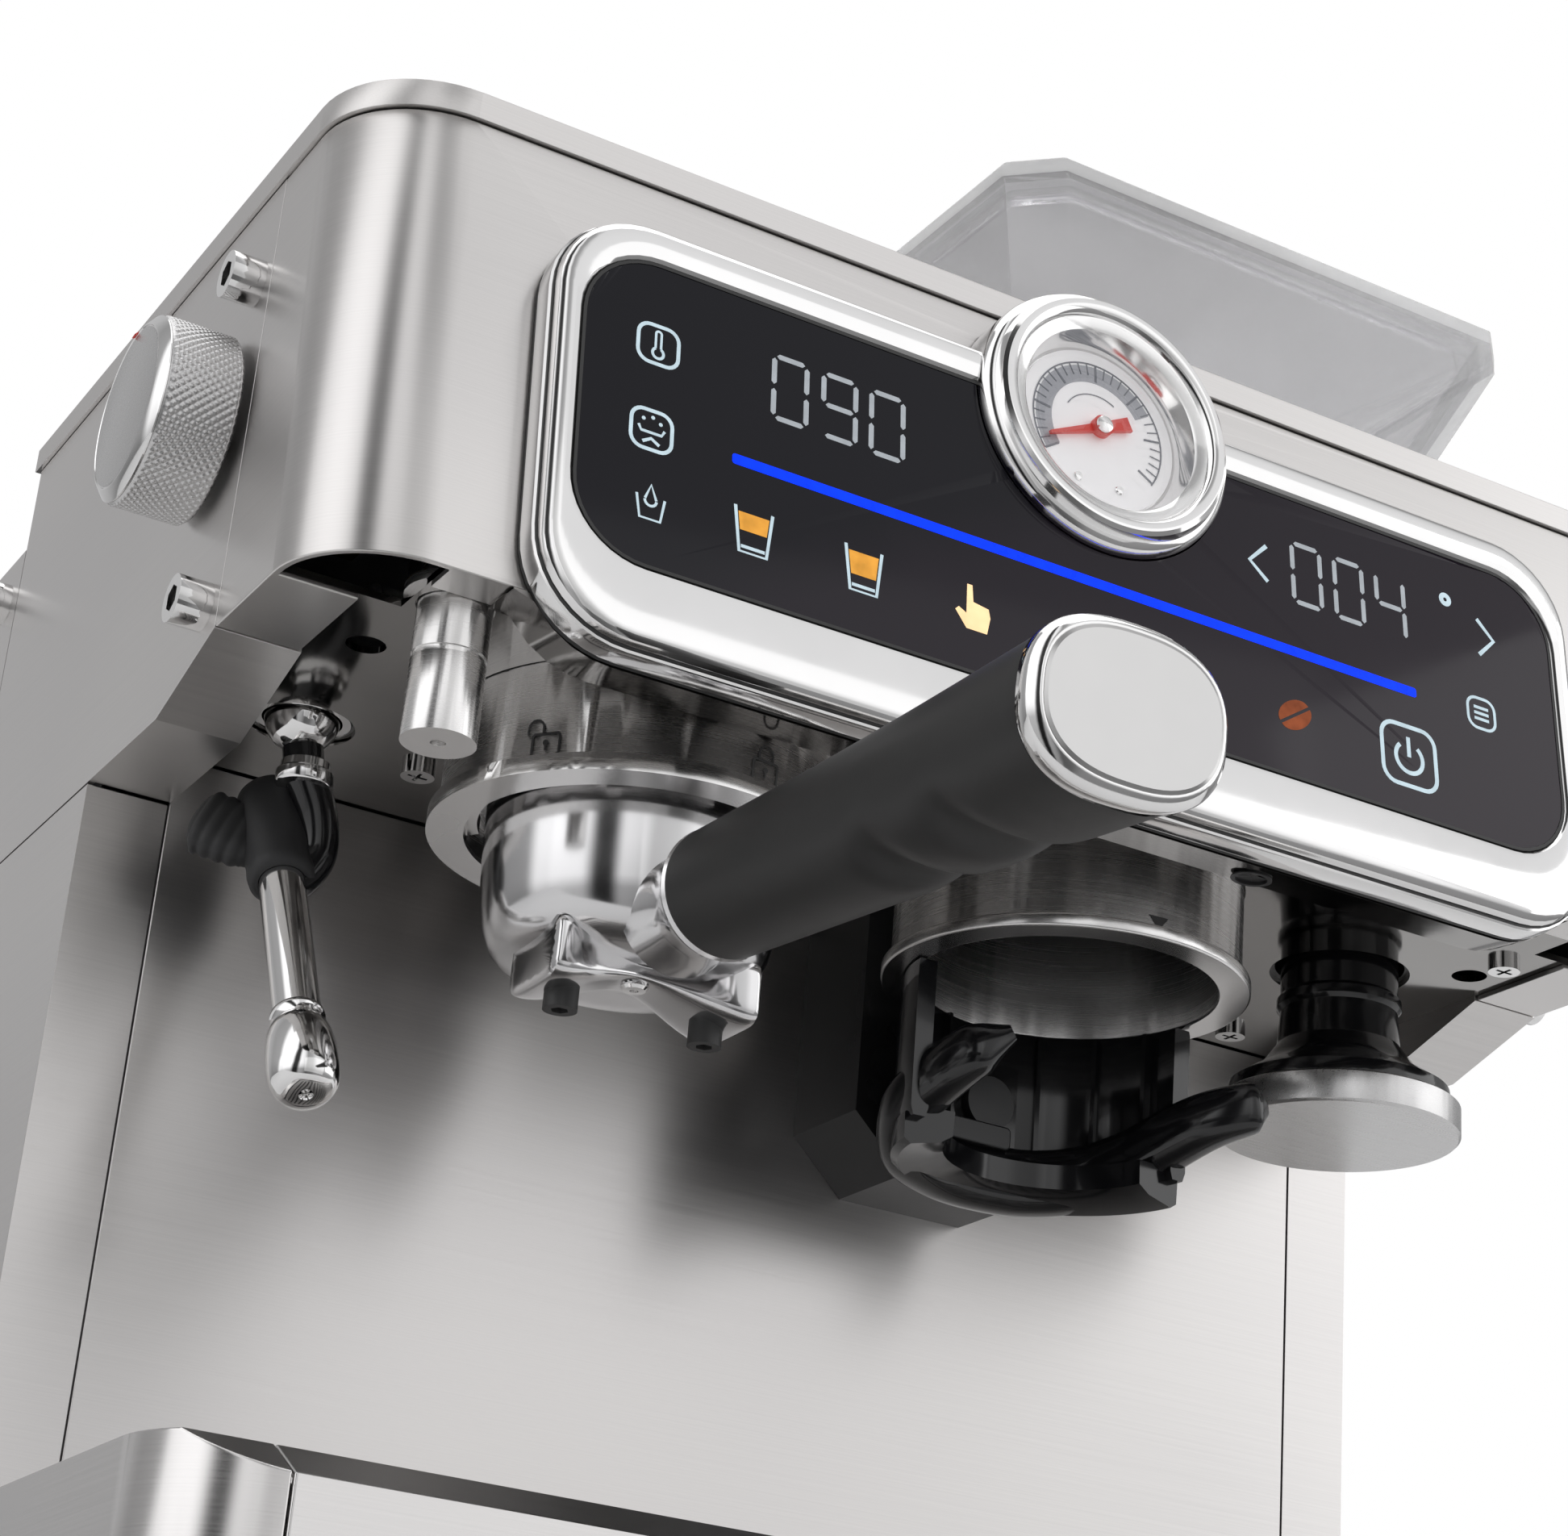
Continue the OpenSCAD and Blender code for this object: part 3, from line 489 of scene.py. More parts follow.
def arc(x, v, r, a0, a1, n=24):
    """Points on part of a circle, from a0 to a1 degrees."""
    pts = []
    for i in range(n + 1):
        c, s = turned(r, math.radians(a0 + (a1 - a0) * i / n))
        pts.append((x + c, v + s))
    return pts


def circle(r, n, x=0.0, y=0.0):
    return arc(x, y, r, 0, 360, n)[:-1]


def rounded(w, h, r, n=6, x=0.0, y=0.0):
    """A rectangle with round corners."""
    right, top = w / 2 - r, h / 2 - r
    pts = []
    for cx, cy, a0 in ((right, top, 0), (-right, top, 90), (-right, -top, 180), (right, -top, 270)):
        pts += arc(x + cx, y + cy, r, a0, a0 + 90, n)
    return pts


def lathe(shape, profile, place, n=96, start=0.0, end=360.0):
    """Turns a profile of (radius, height) points; place maps (x, y, height) to the part."""
    whole = end - start >= 360
    rings = []
    for i in range(n if whole else n + 1):
        a = math.radians(start + (end - start) * i / n)
        rings.append([place(*turned(max(r, 0.001), a), z) for r, z in profile])
    if whole:
        shape.tube(rings)
    else:
        shape.loft(rings)


def smooth_path(points, steps=8):
    """Catmull-Rom curve through the points."""
    p = [Vector(q) for q in points]
    p = [p[0] * 2 - p[1]] + p + [p[-1] * 2 - p[-2]]
    out = []
    for a, b, c, d in zip(p, p[1:], p[2:], p[3:]):
        for k in range(steps):
            t = k / steps
            square = (2 * a - 5 * b + 4 * c - d) * t * t
            cube = (3 * b - a - 3 * c + d) * t ** 3
            out.append(0.5 * (2 * b + (c - a) * t + square + cube))
    out.append(p[-2])
    return out


def sweep(shape, points, size, n=20, up=(0, 0, 1), power=2.0):
    """A section of size(t) = (half width, half height) along a path, t from 0 to 1."""
    last = len(points) - 1
    rings = []
    for i, p in enumerate(points):
        forward = (points[min(i + 1, last)] - points[max(i - 1, 0)]).normalized()
        side = forward.cross(Vector(up)).normalized()
        top = side.cross(forward).normalized()
        rings.append([at(*(p + side * u + top * w)) for u, w in oval(*size(i / last), power, n)])
    shape.loft(rings)


# ---- touch panel graphics ----
GLASS_D = 9.0
PRINT = 0.08
FILL = 0.06


def face_v(z):
    """How far up the glass the height z is."""
    return (z - GLASS_D * math.sin(FACE_LEAN)) / math.cos(FACE_LEAN)


def ink(x, v, d):
    """A point on the glass; prints start just inside its surface."""
    return on_face(x, v, GLASS_D - 0.02 + d)


NUMBER_V = face_v(58)
TOP_ROW = face_v(57.8)
MIDDLE_ROW = face_v(38.1)
LOW_ROW = face_v(22)

DIGIT_W, DIGIT_H = 7.4, 14.5
DIGIT_LINE, DIGIT_GAP = 1.15, 0.5
# Each bar's place across and up, in half widths and half heights, and whether it stands upright.
BARS = {
    "a": (0, 1, False), "g": (0, 0, False), "d": (0, -1, False),
    "b": (1, 0.5, True), "c": (1, -0.5, True), "e": (-1, -0.5, True), "f": (-1, 0.5, True),
}
LIT = {0: "abcdef", 4: "bcfg", 9: "abcdfg"}


def digit(shape, number, x, v):
    """A digit made of bars with pointed ends."""
    k = DIGIT_LINE / 2
    for name in LIT[number]:
        across, up, upright = BARS[name]
        cx, cy = x + across * DIGIT_W / 2, v + up * DIGIT_H / 2
        reach = (DIGIT_H / 4 if upright else DIGIT_W / 2) - DIGIT_GAP
        bar = [(-reach, 0), (k - reach, -k), (reach - k, -k), (reach, 0), (reach - k, k), (k - reach, k)]
        shape.prism([(cx - b, cy + a) if upright else (cx + a, cy + b) for a, b in bar], 0, PRINT, ink)


def frame_icon(shape, x, v, size, t=0.8, r=3.0):
    """A square outline with round corners."""
    inner = size - 2 * t
    shape.band(rounded(size, size, r, 6, x, v), rounded(inner, inner, r - t, 6, x, v), 0, PRINT, ink)


def stroke(shape, pts, t, place=ink):
    """A line of width t through flat points."""
    rings = []
    for i, (x, y) in enumerate(pts):
        a = pts[max(i - 1, 0)]
        b = pts[min(i + 1, len(pts) - 1)]
        dx, dy = b[0] - a[0], b[1] - a[1]
        k = t / 2 / math.hypot(dx, dy)
        left = (x - dy * k, y + dx * k)
        right = (x + dy * k, y - dx * k)
        rings.append([place(*left, 0), place(*right, 0), place(*right, PRINT), place(*left, PRINT)])
    shape.loft(rings)


def panel_digits():
    digits = Shape()
    for number, x in ((0, -74.9), (9, -63.6), (0, -52.5), (0, 52.6), (0, 64.0), (4, 75.4)):
        digit(digits, number, x, NUMBER_V)
    digits.make("panel_digits", "icon_dim", "machine")


def panel_blue_line():
    line = Shape()
    line.prism(rounded(168, 2.3, 0.6, 3, -3.2, face_v(38.2)), 0, PRINT, ink)
    line.make("panel_blue_line", "blue", "machine")


def temperature_icon(shape, x, v):
    frame_icon(shape, x, v, 9.6)
    for side in (-0.6, 0.6):
        stroke(shape, [(x + side, v + 2.6), (x + side, v - 0.8)], 0.5)
    stroke(shape, arc(x, v + 2.6, 0.6, 0, 180, 10), 0.5)
    stroke(shape, arc(x, v - 1.9, 1.2, -240, 60, 16), 0.6)


def rinse_icon(shape, x, v):
    frame_icon(shape, x, v, 9.6)
    stroke(shape, [(x - 2.8, v + 0.6), (x - 2.2, v - 0.6), (x + 2.2, v - 0.6), (x + 2.8, v + 0.6)], 0.6)
    stroke(shape, [(x - 1.8, v - 3.0), (x, v - 1.9), (x + 1.8, v - 3.0)], 0.7)
    for dx, dy in ((-1.8, 2.2), (0.2, 2.9), (1.9, 1.9)):
        shape.prism(circle(0.42, 10, x + dx, v + dy), 0, PRINT, ink)


def cup_icon(shape, x, v):
    stroke(shape, [(x - 3.0, v + 1.4), (x - 2.2, v - 3.6), (x + 2.2, v - 3.6), (x + 3.0, v + 1.4)], 0.55)
    stroke(shape, [(x - 1.2, v + 0.8), (x, v + 4.0), (x + 1.2, v + 0.8)], 0.55)
    stroke(shape, arc(x, v + 0.6, 1.25, 180, 360, 10), 0.55)


def arrow_icons(shape, v):
    stroke(shape, [(42.0, v + 4.2), (37.4, v - 0.6), (42.0, v - 4.6)], 1.0)
    stroke(shape, [(99.8, v + 5.0), (104.2, v + 0.6), (99.8, v - 4.0)], 1.0)


def ring_icon(shape, x, v):
    shape.band(circle(1.7, 18, x, v), circle(0.5, 18, x, v), 0, PRINT, ink)


def menu_icon(shape, x, v):
    frame_icon(shape, x, v, 8.2, 0.7, 2.8)
    for dy in (-1.4, 0, 1.4):
        stroke(shape, [(x - 2.0, v + dy), (x + 2.0, v + dy)], 0.7)


def power_icon(shape, x, v):
    frame_icon(shape, x, v, 15.4, 1.0, 4.0)
    stroke(shape, arc(x, v - 0.4, 3.6, 130, 410, 30), 1.0)
    stroke(shape, [(x, v - 0.2), (x, v + 4.6)], 1.0)


def panel_icons():
    icons = Shape()
    temperature_icon(icons, -104.3, TOP_ROW)
    rinse_icon(icons, -104.8, MIDDLE_ROW)
    cup_icon(icons, -104.2, LOW_ROW)
    arrow_icons(icons, TOP_ROW)
    ring_icon(icons, 91.1, face_v(64.9))
    menu_icon(icons, 98.9, face_v(38.7))
    power_icon(icons, 77.6, LOW_ROW)
    icons.make("panel_icons", "icon", "machine")


def panel_cups():
    """Two glasses, each with its drink filled to a level."""
    cups = Shape()
    drinks = Shape()
    for x, v, level in ((-82.0, face_v(22.7), 0.2), (-57.4, face_v(22.4), -1.0)):
        stroke(cups, [(x - 4.1, v + 5.4), (x - 3.0, v - 4.6), (x + 3.0, v - 4.6), (x + 4.1, v + 5.4)], 0.7)
        stroke(cups, [(x - 2.6, v - 3.4), (x + 2.6, v - 3.4)], 0.7)
        half = 2.4 + 1.1 * (level + 4.6) / 10
        drink = [(x - half, v + level), (x + half, v + level), (x + 3.4, v + 4.2), (x - 3.4, v + 4.2)]
        drinks.prism(drink, 0, FILL, ink)
    cups.make("panel_cups", "icon", "machine")
    drinks.make("panel_coffee", "coffee", "machine")


def panel_hand():
    outline = [
        (-1.4, 5.2), (-0.2, 5.2), (0, 1.4), (3.6, 0.8), (4.0, -1.2), (3.2, -5.0),
        (-1.6, -5.0), (-4.2, -1.4), (-3.4, -0.6), (-1.6, -1.6),
    ]
    hand = Shape()
    hand.prism([(x - 32.1, y + face_v(22.6)) for x, y in outline], 0, PRINT, ink)
    hand.make("panel_hand", "skin", "machine")


def panel_bean():
    """A tilted coffee bean: two halves with a crease between them."""
    c, s = turned(1, math.radians(35))
    bean = Shape()
    for side in (-1, 1):
        half = []
        for i in range(17):
            u, w = turned(1, math.pi * i / 16)
            u *= 4.6
            w = side * (0.35 + 2.9 * w)
            half.append((47.4 + u * c - w * s, face_v(22.8) + u * s + w * c))
        bean.prism(half, 0, PRINT, ink)
    bean.make("panel_bean", "bean", "machine")


# ---- bezel ----
BAR_END = 27.5
BEZEL_W, BEZEL_H, BEZEL_R, BEZEL_V = 254, 96, 21, 37.5
GLASS_W, GLASS_H, GLASS_R, GLASS_V = 240.6, 68.6, 15.8, 41.5


def bezel_loop(w, h, r, v):
    """Outline from the gauge's right side, round the glass, to its left side."""
    r = max(r, 0.5)
    right, top = w / 2 - r, h / 2 - r
    pts = [(BAR_END, v + h / 2)]
    for cx, cy, a0 in ((right, top, 90), (right, -top, 0), (-right, -top, -90), (-right, top, -180)):
        pts += arc(cx, v + cy, r, a0, a0 - 90, 10)
    pts.append((-BAR_END, v + h / 2))
    return pts


def bezel_strip(shape, profile):
    """profile holds (side, offset, depth): offsets in from the outer edge, or out from the glass."""
    lines = []
    for side, off, d in profile:
        if side == "outer":
            loop = bezel_loop(BEZEL_W - 2 * off, BEZEL_H - 2 * off, BEZEL_R - off, BEZEL_V)
        else:
            loop = bezel_loop(GLASS_W + 2 * off, GLASS_H + 2 * off, GLASS_R + off, GLASS_V)
        lines.append([on_face(x, v, d) for x, v in loop])
    shape.loft(list(zip(*lines)))


def bezel_frame():
    trim = Shape()
    bezel_strip(trim, [
        ("outer", 0.9, 0.1), ("outer", 0.9, 1.2), ("outer", 0.05, 1.5), ("outer", 0, 2.0),
        ("outer", 0, 5.8), ("outer", 0.1, 6.2), ("outer", 0.8, 6.5), ("outer", 0.8, 7.3),
        ("outer", 0.9, 8.0), ("outer", 1.3, 8.9), ("outer", 2.1, 9.6), ("outer", 3.2, 9.95),
        ("outer", 4.3, 10.0), ("glass", 2.4, 9.9), ("glass", 1.2, 9.6), ("glass", 0.5, 9.0),
        ("glass", 0.1, 8.2), ("glass", 0.1, 0.1),
    ])
    trim.make("bezel_frame", "chrome", "machine", smooth=24, replaces=("control_bezel",))


def bezel_seams():
    """Painted shade: black strips laid in the bezel's steps and in the gap at the glass, where shade falls:
    off0 to off1 across, d0 to d1 deep.
    """
    shade_strips = Shape()
    for side, off0, off1, d0, d1 in (
        ("outer", 0.3, 1.2, 0.15, 1.35),
        ("outer", 0.55, 1.2, 6.55, 7.15),
        ("glass", 0.35, -0.35, 8.6, 9.15),
    ):
        bezel_strip(shade_strips, [(side, off0, d0), (side, off0, d1), (side, off1, d1), (side, off1, d0)])
    shade_strips.make("bezel_seams", "ink", "machine")


def bezel_chin():
    """The return under the bezel, which follows its round lower corners."""
    chin = Shape()
    half = BEZEL_W / 2
    slices = 60
    rings = []
    for i in range(slices + 1):
        x = BEZEL_W * i / slices - half
        inside = min(BEZEL_R, half - abs(x))
        drop = BEZEL_R - math.sqrt(BEZEL_R ** 2 - (BEZEL_R - inside) ** 2)
        low = min(-0.7, drop - 10.4)
        back = min(-0.45, low + 1.8)
        side = [(-53.5, -0.4), (-53.5, low), (-42.8, low + 1.0), (-42.2, back), (-42.2, -0.4)]
        rings.append([at(x, y, z) for y, z in side])
    chin.loft(rings)
    chin.make("bezel_chin", "mirror", "machine", smooth=30)


# ---- gauge ----
GAUGE_V = 76.5
DIAL_D = 7.42
SCALE_START, SCALE_END = 214, -34


def on_gauge(x, y, d):
    return on_face(x, GAUGE_V + y, d)


def on_dial(x, y, d):
    return on_gauge(x, y, DIAL_D + d)


def over_band(x, y, d):
    """A point above the scale band's print."""
    return on_dial(x, y, d + FILL)


def gauge_rim():
    rim = Shape()
    lathe(rim, [
        (22, -5.8), (22, 0.4), (30.2, 0.4), (31, 1.2), (31, 9.6), (30.7, 11), (29.9, 12.1), (28.9, 12.6),
        (28.5, 13.2), (28.2, 14.2), (27.4, 14.85), (26.2, 15), (25.2, 14.7), (24.5, 14.1), (24.1, 13.3),
        (22.2, 12.9), (21.4, 12.4), (20.2, 9.4), (19.6, 7.6), (19.5, 6.2), (0.1, 6.0), (0.1, -5.8),
    ], on_gauge, 128)
    rim.make("gauge_rim", "chrome", "machine", smooth=28, replaces=("gauge_housing",))


def gauge_scale_band():
    scale_band = Shape()
    inner = arc(0, 0, 11.6, 32, SCALE_START, 60)
    outer = arc(0, 0, 15.6, 32, SCALE_START, 60)
    scale_band.loft([
        [on_dial(*a, 0), on_dial(*b, 0), on_dial(*b, FILL), on_dial(*a, FILL)] for a, b in zip(inner, outer)
    ])
    scale_band.make("gauge_scale_band", "dial_pale", "machine")


def gauge_ticks():
    """31 ticks, each fifth one longer and wider, with an arc outside them and one inside."""
    ticks = Shape()
    for i in range(31):
        a = math.radians(SCALE_START - i * 8.2)
        start, width = (13.4, 0.28) if i % 5 else (12.0, 0.5)
        stroke(ticks, [turned(start, a), turned(16.0, a)], width, over_band)
    stroke(ticks, arc(0, 0, 16.2, SCALE_END, SCALE_START, 60), 0.35, over_band)
    stroke(ticks, arc(0, 0, 8.6, 60, 150, 20), 0.25, over_band)
    ticks.make("gauge_ticks", "dial_grey", "machine")


def gauge_studs():
    """Two stop pins low on the dial, and the boss over the needle."""
    studs = Shape()
    for side in (-5.2, 5.2):
        lathe(studs, [(0.1, 0.0), (1.0, 0.0), (1.1, 0.2), (0.9, 0.5), (0.1, 0.55)],
              lambda x, y, d: on_dial(x + side, y - 13.2, d), 20)
    lathe(studs, [(0.1, 2.2), (1.7, 2.2), (2.0, 2.5), (1.9, 3.0), (0.9, 3.4), (0.1, 3.45)], on_dial, 32)
    studs.make("gauge_studs", "chrome", "machine")


# ---- portafilter ----
GRIP_START, GRIP_LENGTH = 40, 130
FINGER_DENTS = (112, 137)


def portafilter_cup():
    """The bowl with its two locking ears and the neck that holds the handle."""
    bowl = Shape()
    lathe(bowl, [
        (28.0, -11.4), (31.2, -11.4), (31.6, -11.8), (31.6, -14.2), (31.2, -14.6), (30.7, -15.4),
        (30.5, -17), (30.4, -24), (30.0, -32), (29.3, -39), (28.4, -43), (27.0, -46), (24.5, -48.4),
        (20.5, -49.8), (16, -50), (0.1, -50), (0.1, -42), (27.6, -42), (28, -41),
    ], at_group, 128)
    ear = [(30.0, -14.6), (33.4, -14.6), (33.6, -14.2), (33.6, -11.8), (33.2, -11.4), (30.0, -11.4)]
    for a0 in (-30, 150):
        lathe(bowl, ear, at_group, 16, a0, a0 + 34)
    neck = (
        (22, 12.6), (26, 11.4), (29, 10.2), (32, 9.6), (35, 9.8), (37, 11.2), (38.6, 12.6),
        (39.8, 13.0), (40.6, 12.4),
    )
    bowl.loft([[on_handle(x, y, s) for x, y in circle(r, 48)] for s, r in neck])
    bowl.make("portafilter_cup", "cast", "portafilter", smooth=35, replaces=("portafilter_bowl",))


def handle_ring(s, grow=0.0, dent=True, n=64):
    """The grip's outline s along the handle; it widens and squares off towards its end."""
    t = (s - GRIP_START) / GRIP_LENGTH
    w = 13.0 + 2.0 * t + 3.6 * (max(0, t - 0.35) / 0.65) ** 1.4
    h = 12.8 + 1.9 * t
    power = 2.0 + 0.5 * min(1, max(0, t))
    depth = sum(3.0 * math.exp(-((s - place) / 5.0) ** 2) for place in FINGER_DENTS) if dent else 0
    ring = []
    for k, (x, y) in enumerate(oval(w + grow, h + grow, power, n)):
        underside = max(0.0, -math.sin(2 * math.pi * k / n)) ** 1.6
        ring.append(on_handle(x, y + underside * depth, s))
    return ring


def plain_handle(shape, profile):
    """A round part on the handle's axis; profile holds (place along, growth beyond the grip)."""
    shape.loft([handle_ring(s, grow, False) for s, grow in profile])


def handle_body():
    grip = Shape()
    rings = [handle_ring(s, grow, False) for s, grow in ((40.2, -1.6), (40.4, -0.5), (41.4, 0))]
    rings += [handle_ring(42 + 2 * i) for i in range(63)]
    rings += [handle_ring(s, grow, False) for s, grow in ((167.4, -0.1), (167.6, -1.0))]
    grip.loft(rings)
    grip.make("handle_body", "matte", "portafilter", smooth=50, replaces=("handle_grip",))


def handle_end():
    cap = Shape()
    plain_handle(cap, (
        (167.7, -1.2), (167.8, 0.0), (168.3, 0.35), (170.9, 0.35), (171.6, 0.1), (173.1, -1.3),
        (173.3, -1.7), (173.2, -2.0), (172.6, -2.1),
    ))
    cap.make("handle_end", "chrome", "portafilter", smooth=50, replaces=("handle_cap",))
    plate = Shape()
    plain_handle(plate, ((172.6, -1.9), (173.3, -2.0), (173.6, -2.6)))
    plate.make("handle_end_plate", "satin_cap", "portafilter", smooth=12)


def spout_body():
    """A bar across the bowl's underside, thin in its middle and full at its two ends."""
    block = Shape()
    half_slices = (0, 3, 7, 12, 17, 20.5, 22, 22.4)
    slices = [-x for x in half_slices[:0:-1]] + list(half_slices)
    rings = []
    for x in slices:
        k = min(1, abs(x) / 20)
        bulge = k * k * (3 - 2 * k)
        inset = {22: 0.25, 22.4: 0.9}.get(abs(x), 0)
        top = -49.4 + 4.6 * bulge - inset
        low = -52.6 - 6.2 * bulge + inset
        front = -13.0 - 7.6 * bulge + inset
        back = -2.5 + 4.0 * bulge - inset
        section = oval((back - front) / 2, (top - low) / 2, 5.0, 40)
        rings.append([at(GROUP_X + x, (front + back) / 2 + y, (top + low) / 2 + z) for y, z in section])
    block.loft(rings)
    block.make("spout_body", "cast", "portafilter",
               subdiv=1, smooth=50, replaces=("spout_block",))


def spout_centre_screw():
    screw = Shape()
    lathe(screw, [
        (0.1, -51), (2.7, -51), (2.8, -53.3), (2.3, -53.9), (0.9, -54.0), (0.8, -53.3), (0.1, -53.2),
    ], lambda x, y, z: at(GROUP_X + x, -9 + y, z), 32)
    screw.make("spout_centre_screw", "chrome", "portafilter")


# ---- marks on the collars ----
def on_collar(from_axis, radius, angle, z):
    """Maps flat points (u round, w up, d out) onto a collar's side, just above its surface."""
    def place(u, w, d):
        return from_axis(*turned(radius + d, math.radians(angle) + u / radius), z + w)
    return place


def padlock(shape, shift, place):
    """A keyhole plate with a shackle, which is shifted sideways when it is open."""
    shape.band(rounded(6.4, 5.0, 0.8, 4, 0, -1.4), rounded(5.4, 4.0, 0.5, 4, 0, -1.4), 0, FILL, place)
    shackle = [(shift - 1.7, 1.0)] + arc(shift, 2.2, 1.7, 180, 0, 12) + [(shift + 1.7, 1.0)]
    stroke(shape, shackle, 0.45, place)
    shape.prism(circle(0.6, 12, 0, -1.0), 0, FILL, place)
    stroke(shape, [(0, -1.2), (0, -2.6)], 0.4, place)


def collar_marks():
    marks = Shape()
    for angle, shift in ((-80, 0), (-144, -2.4)):
        padlock(marks, shift, on_collar(at_group, 40.02, angle, -15.2))
    marks.prism([(-2.4, 1.6), (0, -1.4), (2.4, 1.6)], 0, FILL, on_collar(at_outlet, 38.02, -94, -19))
    marks.make("collar_marks", "ink", "machine")


# ---- steam knob ----
KNOB_X, KNOB_Y, KNOB_Z = -166.5, 21, 51
KNURL_ROUND, KNURL_ALONG = 210, 60
RING_POINTS = 2 * KNURL_ROUND


def at_knob(x, y, d):
    """A point from the knob's axis: x back, y up, d out to the left."""
    return at(KNOB_X - d, KNOB_Y + x, KNOB_Z + y)


def knob_ring(r, d):
    return [at_knob(x, y, d) for x, y in circle(r, RING_POINTS)]


def knurl_ring(d):
    """A ring of the diamond knurl, a wave that crosses itself round and along the knob."""
    ring = []
    for j in range(RING_POINTS):
        a = math.pi * j / KNURL_ROUND
        u, w = a * 20 / 0.95, d / 0.95
        peak = abs(math.sin((u + w) * math.pi / 2)) * abs(math.sin((u - w) * math.pi / 2))
        ring.append(at_knob(*turned(19.65 + 0.35 * peak, a), d))
    return ring


def knob_body():
    knob = Shape()
    rings = [knob_ring(r, d) for r, d in ((17.5, 0.0), (19.2, 0.0), (19.5, 0.5))]
    rings += [knurl_ring(0.9 + 13.8 * i / KNURL_ALONG) for i in range(KNURL_ALONG + 1)]
    rings += [knob_ring(r, d) for r, d in ((19.6, 14.9), (19.5, 15.2))]
    knob.loft(rings)
    knob.prism(circle(3, 32), -15, 0.2, at_knob)
    knob.make("knob_body", "satin", "knob", smooth=60, replaces=("steam_knob",))


def knob_end():
    """The polished edge, the satin face inside it and the red mark."""
    crown = Shape()
    edge = ((19.3, 15.1), (19.6, 15.4), (19.6, 15.7), (17.6, 17.3), (17.2, 17.4), (17.0, 17.2))
    crown.loft([knob_ring(r, d) for r, d in edge])
    crown.make("knob_crown", "chrome", "knob", smooth=25)
    face = Shape()
    face.loft([knob_ring(r, d) for r, d in ((16.9, 17.0), (16.8, 17.3), (16.4, 17.4))])
    face.make("knob_face", "satin", "knob", smooth=25)
    mark = Shape()
    corners = ((17.0, 1.2, -0.05), (19.3, -0.64, -0.05), (19.3, -0.64, 0.05), (17.0, 1.2, 0.05))
    middle = math.radians(84)
    mark.loft([[at_knob(*turned(r, middle + q), d + drop) for r, drop, q in corners] for d in (16.3, 16.75)])
    mark.make("knob_mark", "red", "knob")


# ---- steam wand ----
BALL_X, BALL_Y, BALL_Z = -132.5, 36, 3
WAND_TOP = Vector((-132, 47.5, -13))
WAND_TIP = Vector((-132, 9, -77.2))
ALONG = (WAND_TIP - WAND_TOP).normalized()
ACROSS = Vector((1, 0, 0))
BEHIND = ALONG.cross(ACROSS)


def on_wand(x, y, s):
    """A point from the wand's axis, s down it from its top."""
    return at(*(WAND_TOP + ALONG * s + ACROSS * x + BEHIND * y))


def wand_tube():
    wand = Shape()
    lathe(wand, [
        (0.1, 1), (4.7, 1), (4.7, 62.5), (5.3, 63.2), (5.4, 64.0), (5.0, 64.6), (5.0, 66), (5.6, 66.8),
        (6.3, 69), (6.8, 72), (7.0, 75.5), (6.9, 79), (6.4, 81.5), (5.2, 83.4), (3.4, 84.3), (1.4, 84.4),
        (0.9, 83.6), (0.8, 82.5), (0.1, 82.5),
    ], on_wand, 64)
    upper_ball = [(0.1, 8), (2.8, 7.5), (5.2, 6.0), (7.0, 3.8), (7.9, 1.0)]
    ball = upper_ball + [(r, -z) for r, z in reversed(upper_ball)]
    lathe(wand, ball, lambda x, y, z: at(BALL_X + x, BALL_Y + y, BALL_Z + z), 48)
    wand.make("wand_tube", "chrome", "wand", smooth=35, replaces=("steam_wand",))


def wand_link():
    """The black elbow between the ball and the grip, and the ring round it."""
    link = Shape()
    path = smooth_path([
        (BALL_X, BALL_Y, BALL_Z), (-130.5, 36, -8), (-126.5, 36, -17), (-125.2, 36.5, -25),
        (-128, 36.6, -31), (-131.8, 35.2, -34),
    ])
    sweep(link, path, lambda t: (4.2, 4.2), 28, (0, 1, 0))
    link.make("wand_link", "gloss", "wand", smooth=60)
    ring = Shape()
    lathe(ring, [
        (0.1, -12), (5.6, -12), (6.0, -11.5), (6.0, -9.2), (5.6, -8.8), (5.2, -8.6), (5.2, -7.0),
        (0.1, -7.0),
    ], lambda x, y, z: at(-130.2 + x, BALL_Y + y, z), 40)
    ring.make("wand_ring", "chrome", "wand")


def fin_size(t):
    """The grip's side fin: ribbed past its root and thinner at its tip."""
    rib = 0.5 * abs(math.sin(t * math.pi * 7)) if t > 0.25 else 0
    fade = 1 if t < 0.8 else max(0.2, math.cos((t - 0.8) / 0.2 * 1.35))
    return (3.0 + 0.8 * t + rib) * fade, (5.6 + rib + 1.8 * math.sin(t * math.pi * 0.8)) * fade


def wand_sleeve():
    sleeve = Shape()
    lathe(sleeve, [
        (4.8, -2.0), (6.4, -2.2), (7.4, -1.2), (7.9, 1.5), (8.0, 6), (7.7, 11), (7.2, 15.5), (6.8, 19),
        (6.9, 21.5), (6.6, 23.4), (5.6, 24.2), (4.8, 24.2),
    ], on_wand, 56)
    fin = smooth_path([
        (-133, 42, -24), (-137, 43, -23.4), (-141, 44.6, -22.2), (-145, 46.6, -20.8), (-148, 48.6, -19.8),
    ], 12)
    sweep(sleeve, fin, fin_size, 28, (0, 0.4, 1), 2.6)
    sleeve.make("wand_sleeve", "grip", "wand", smooth=60, replaces=("wand_grip",))


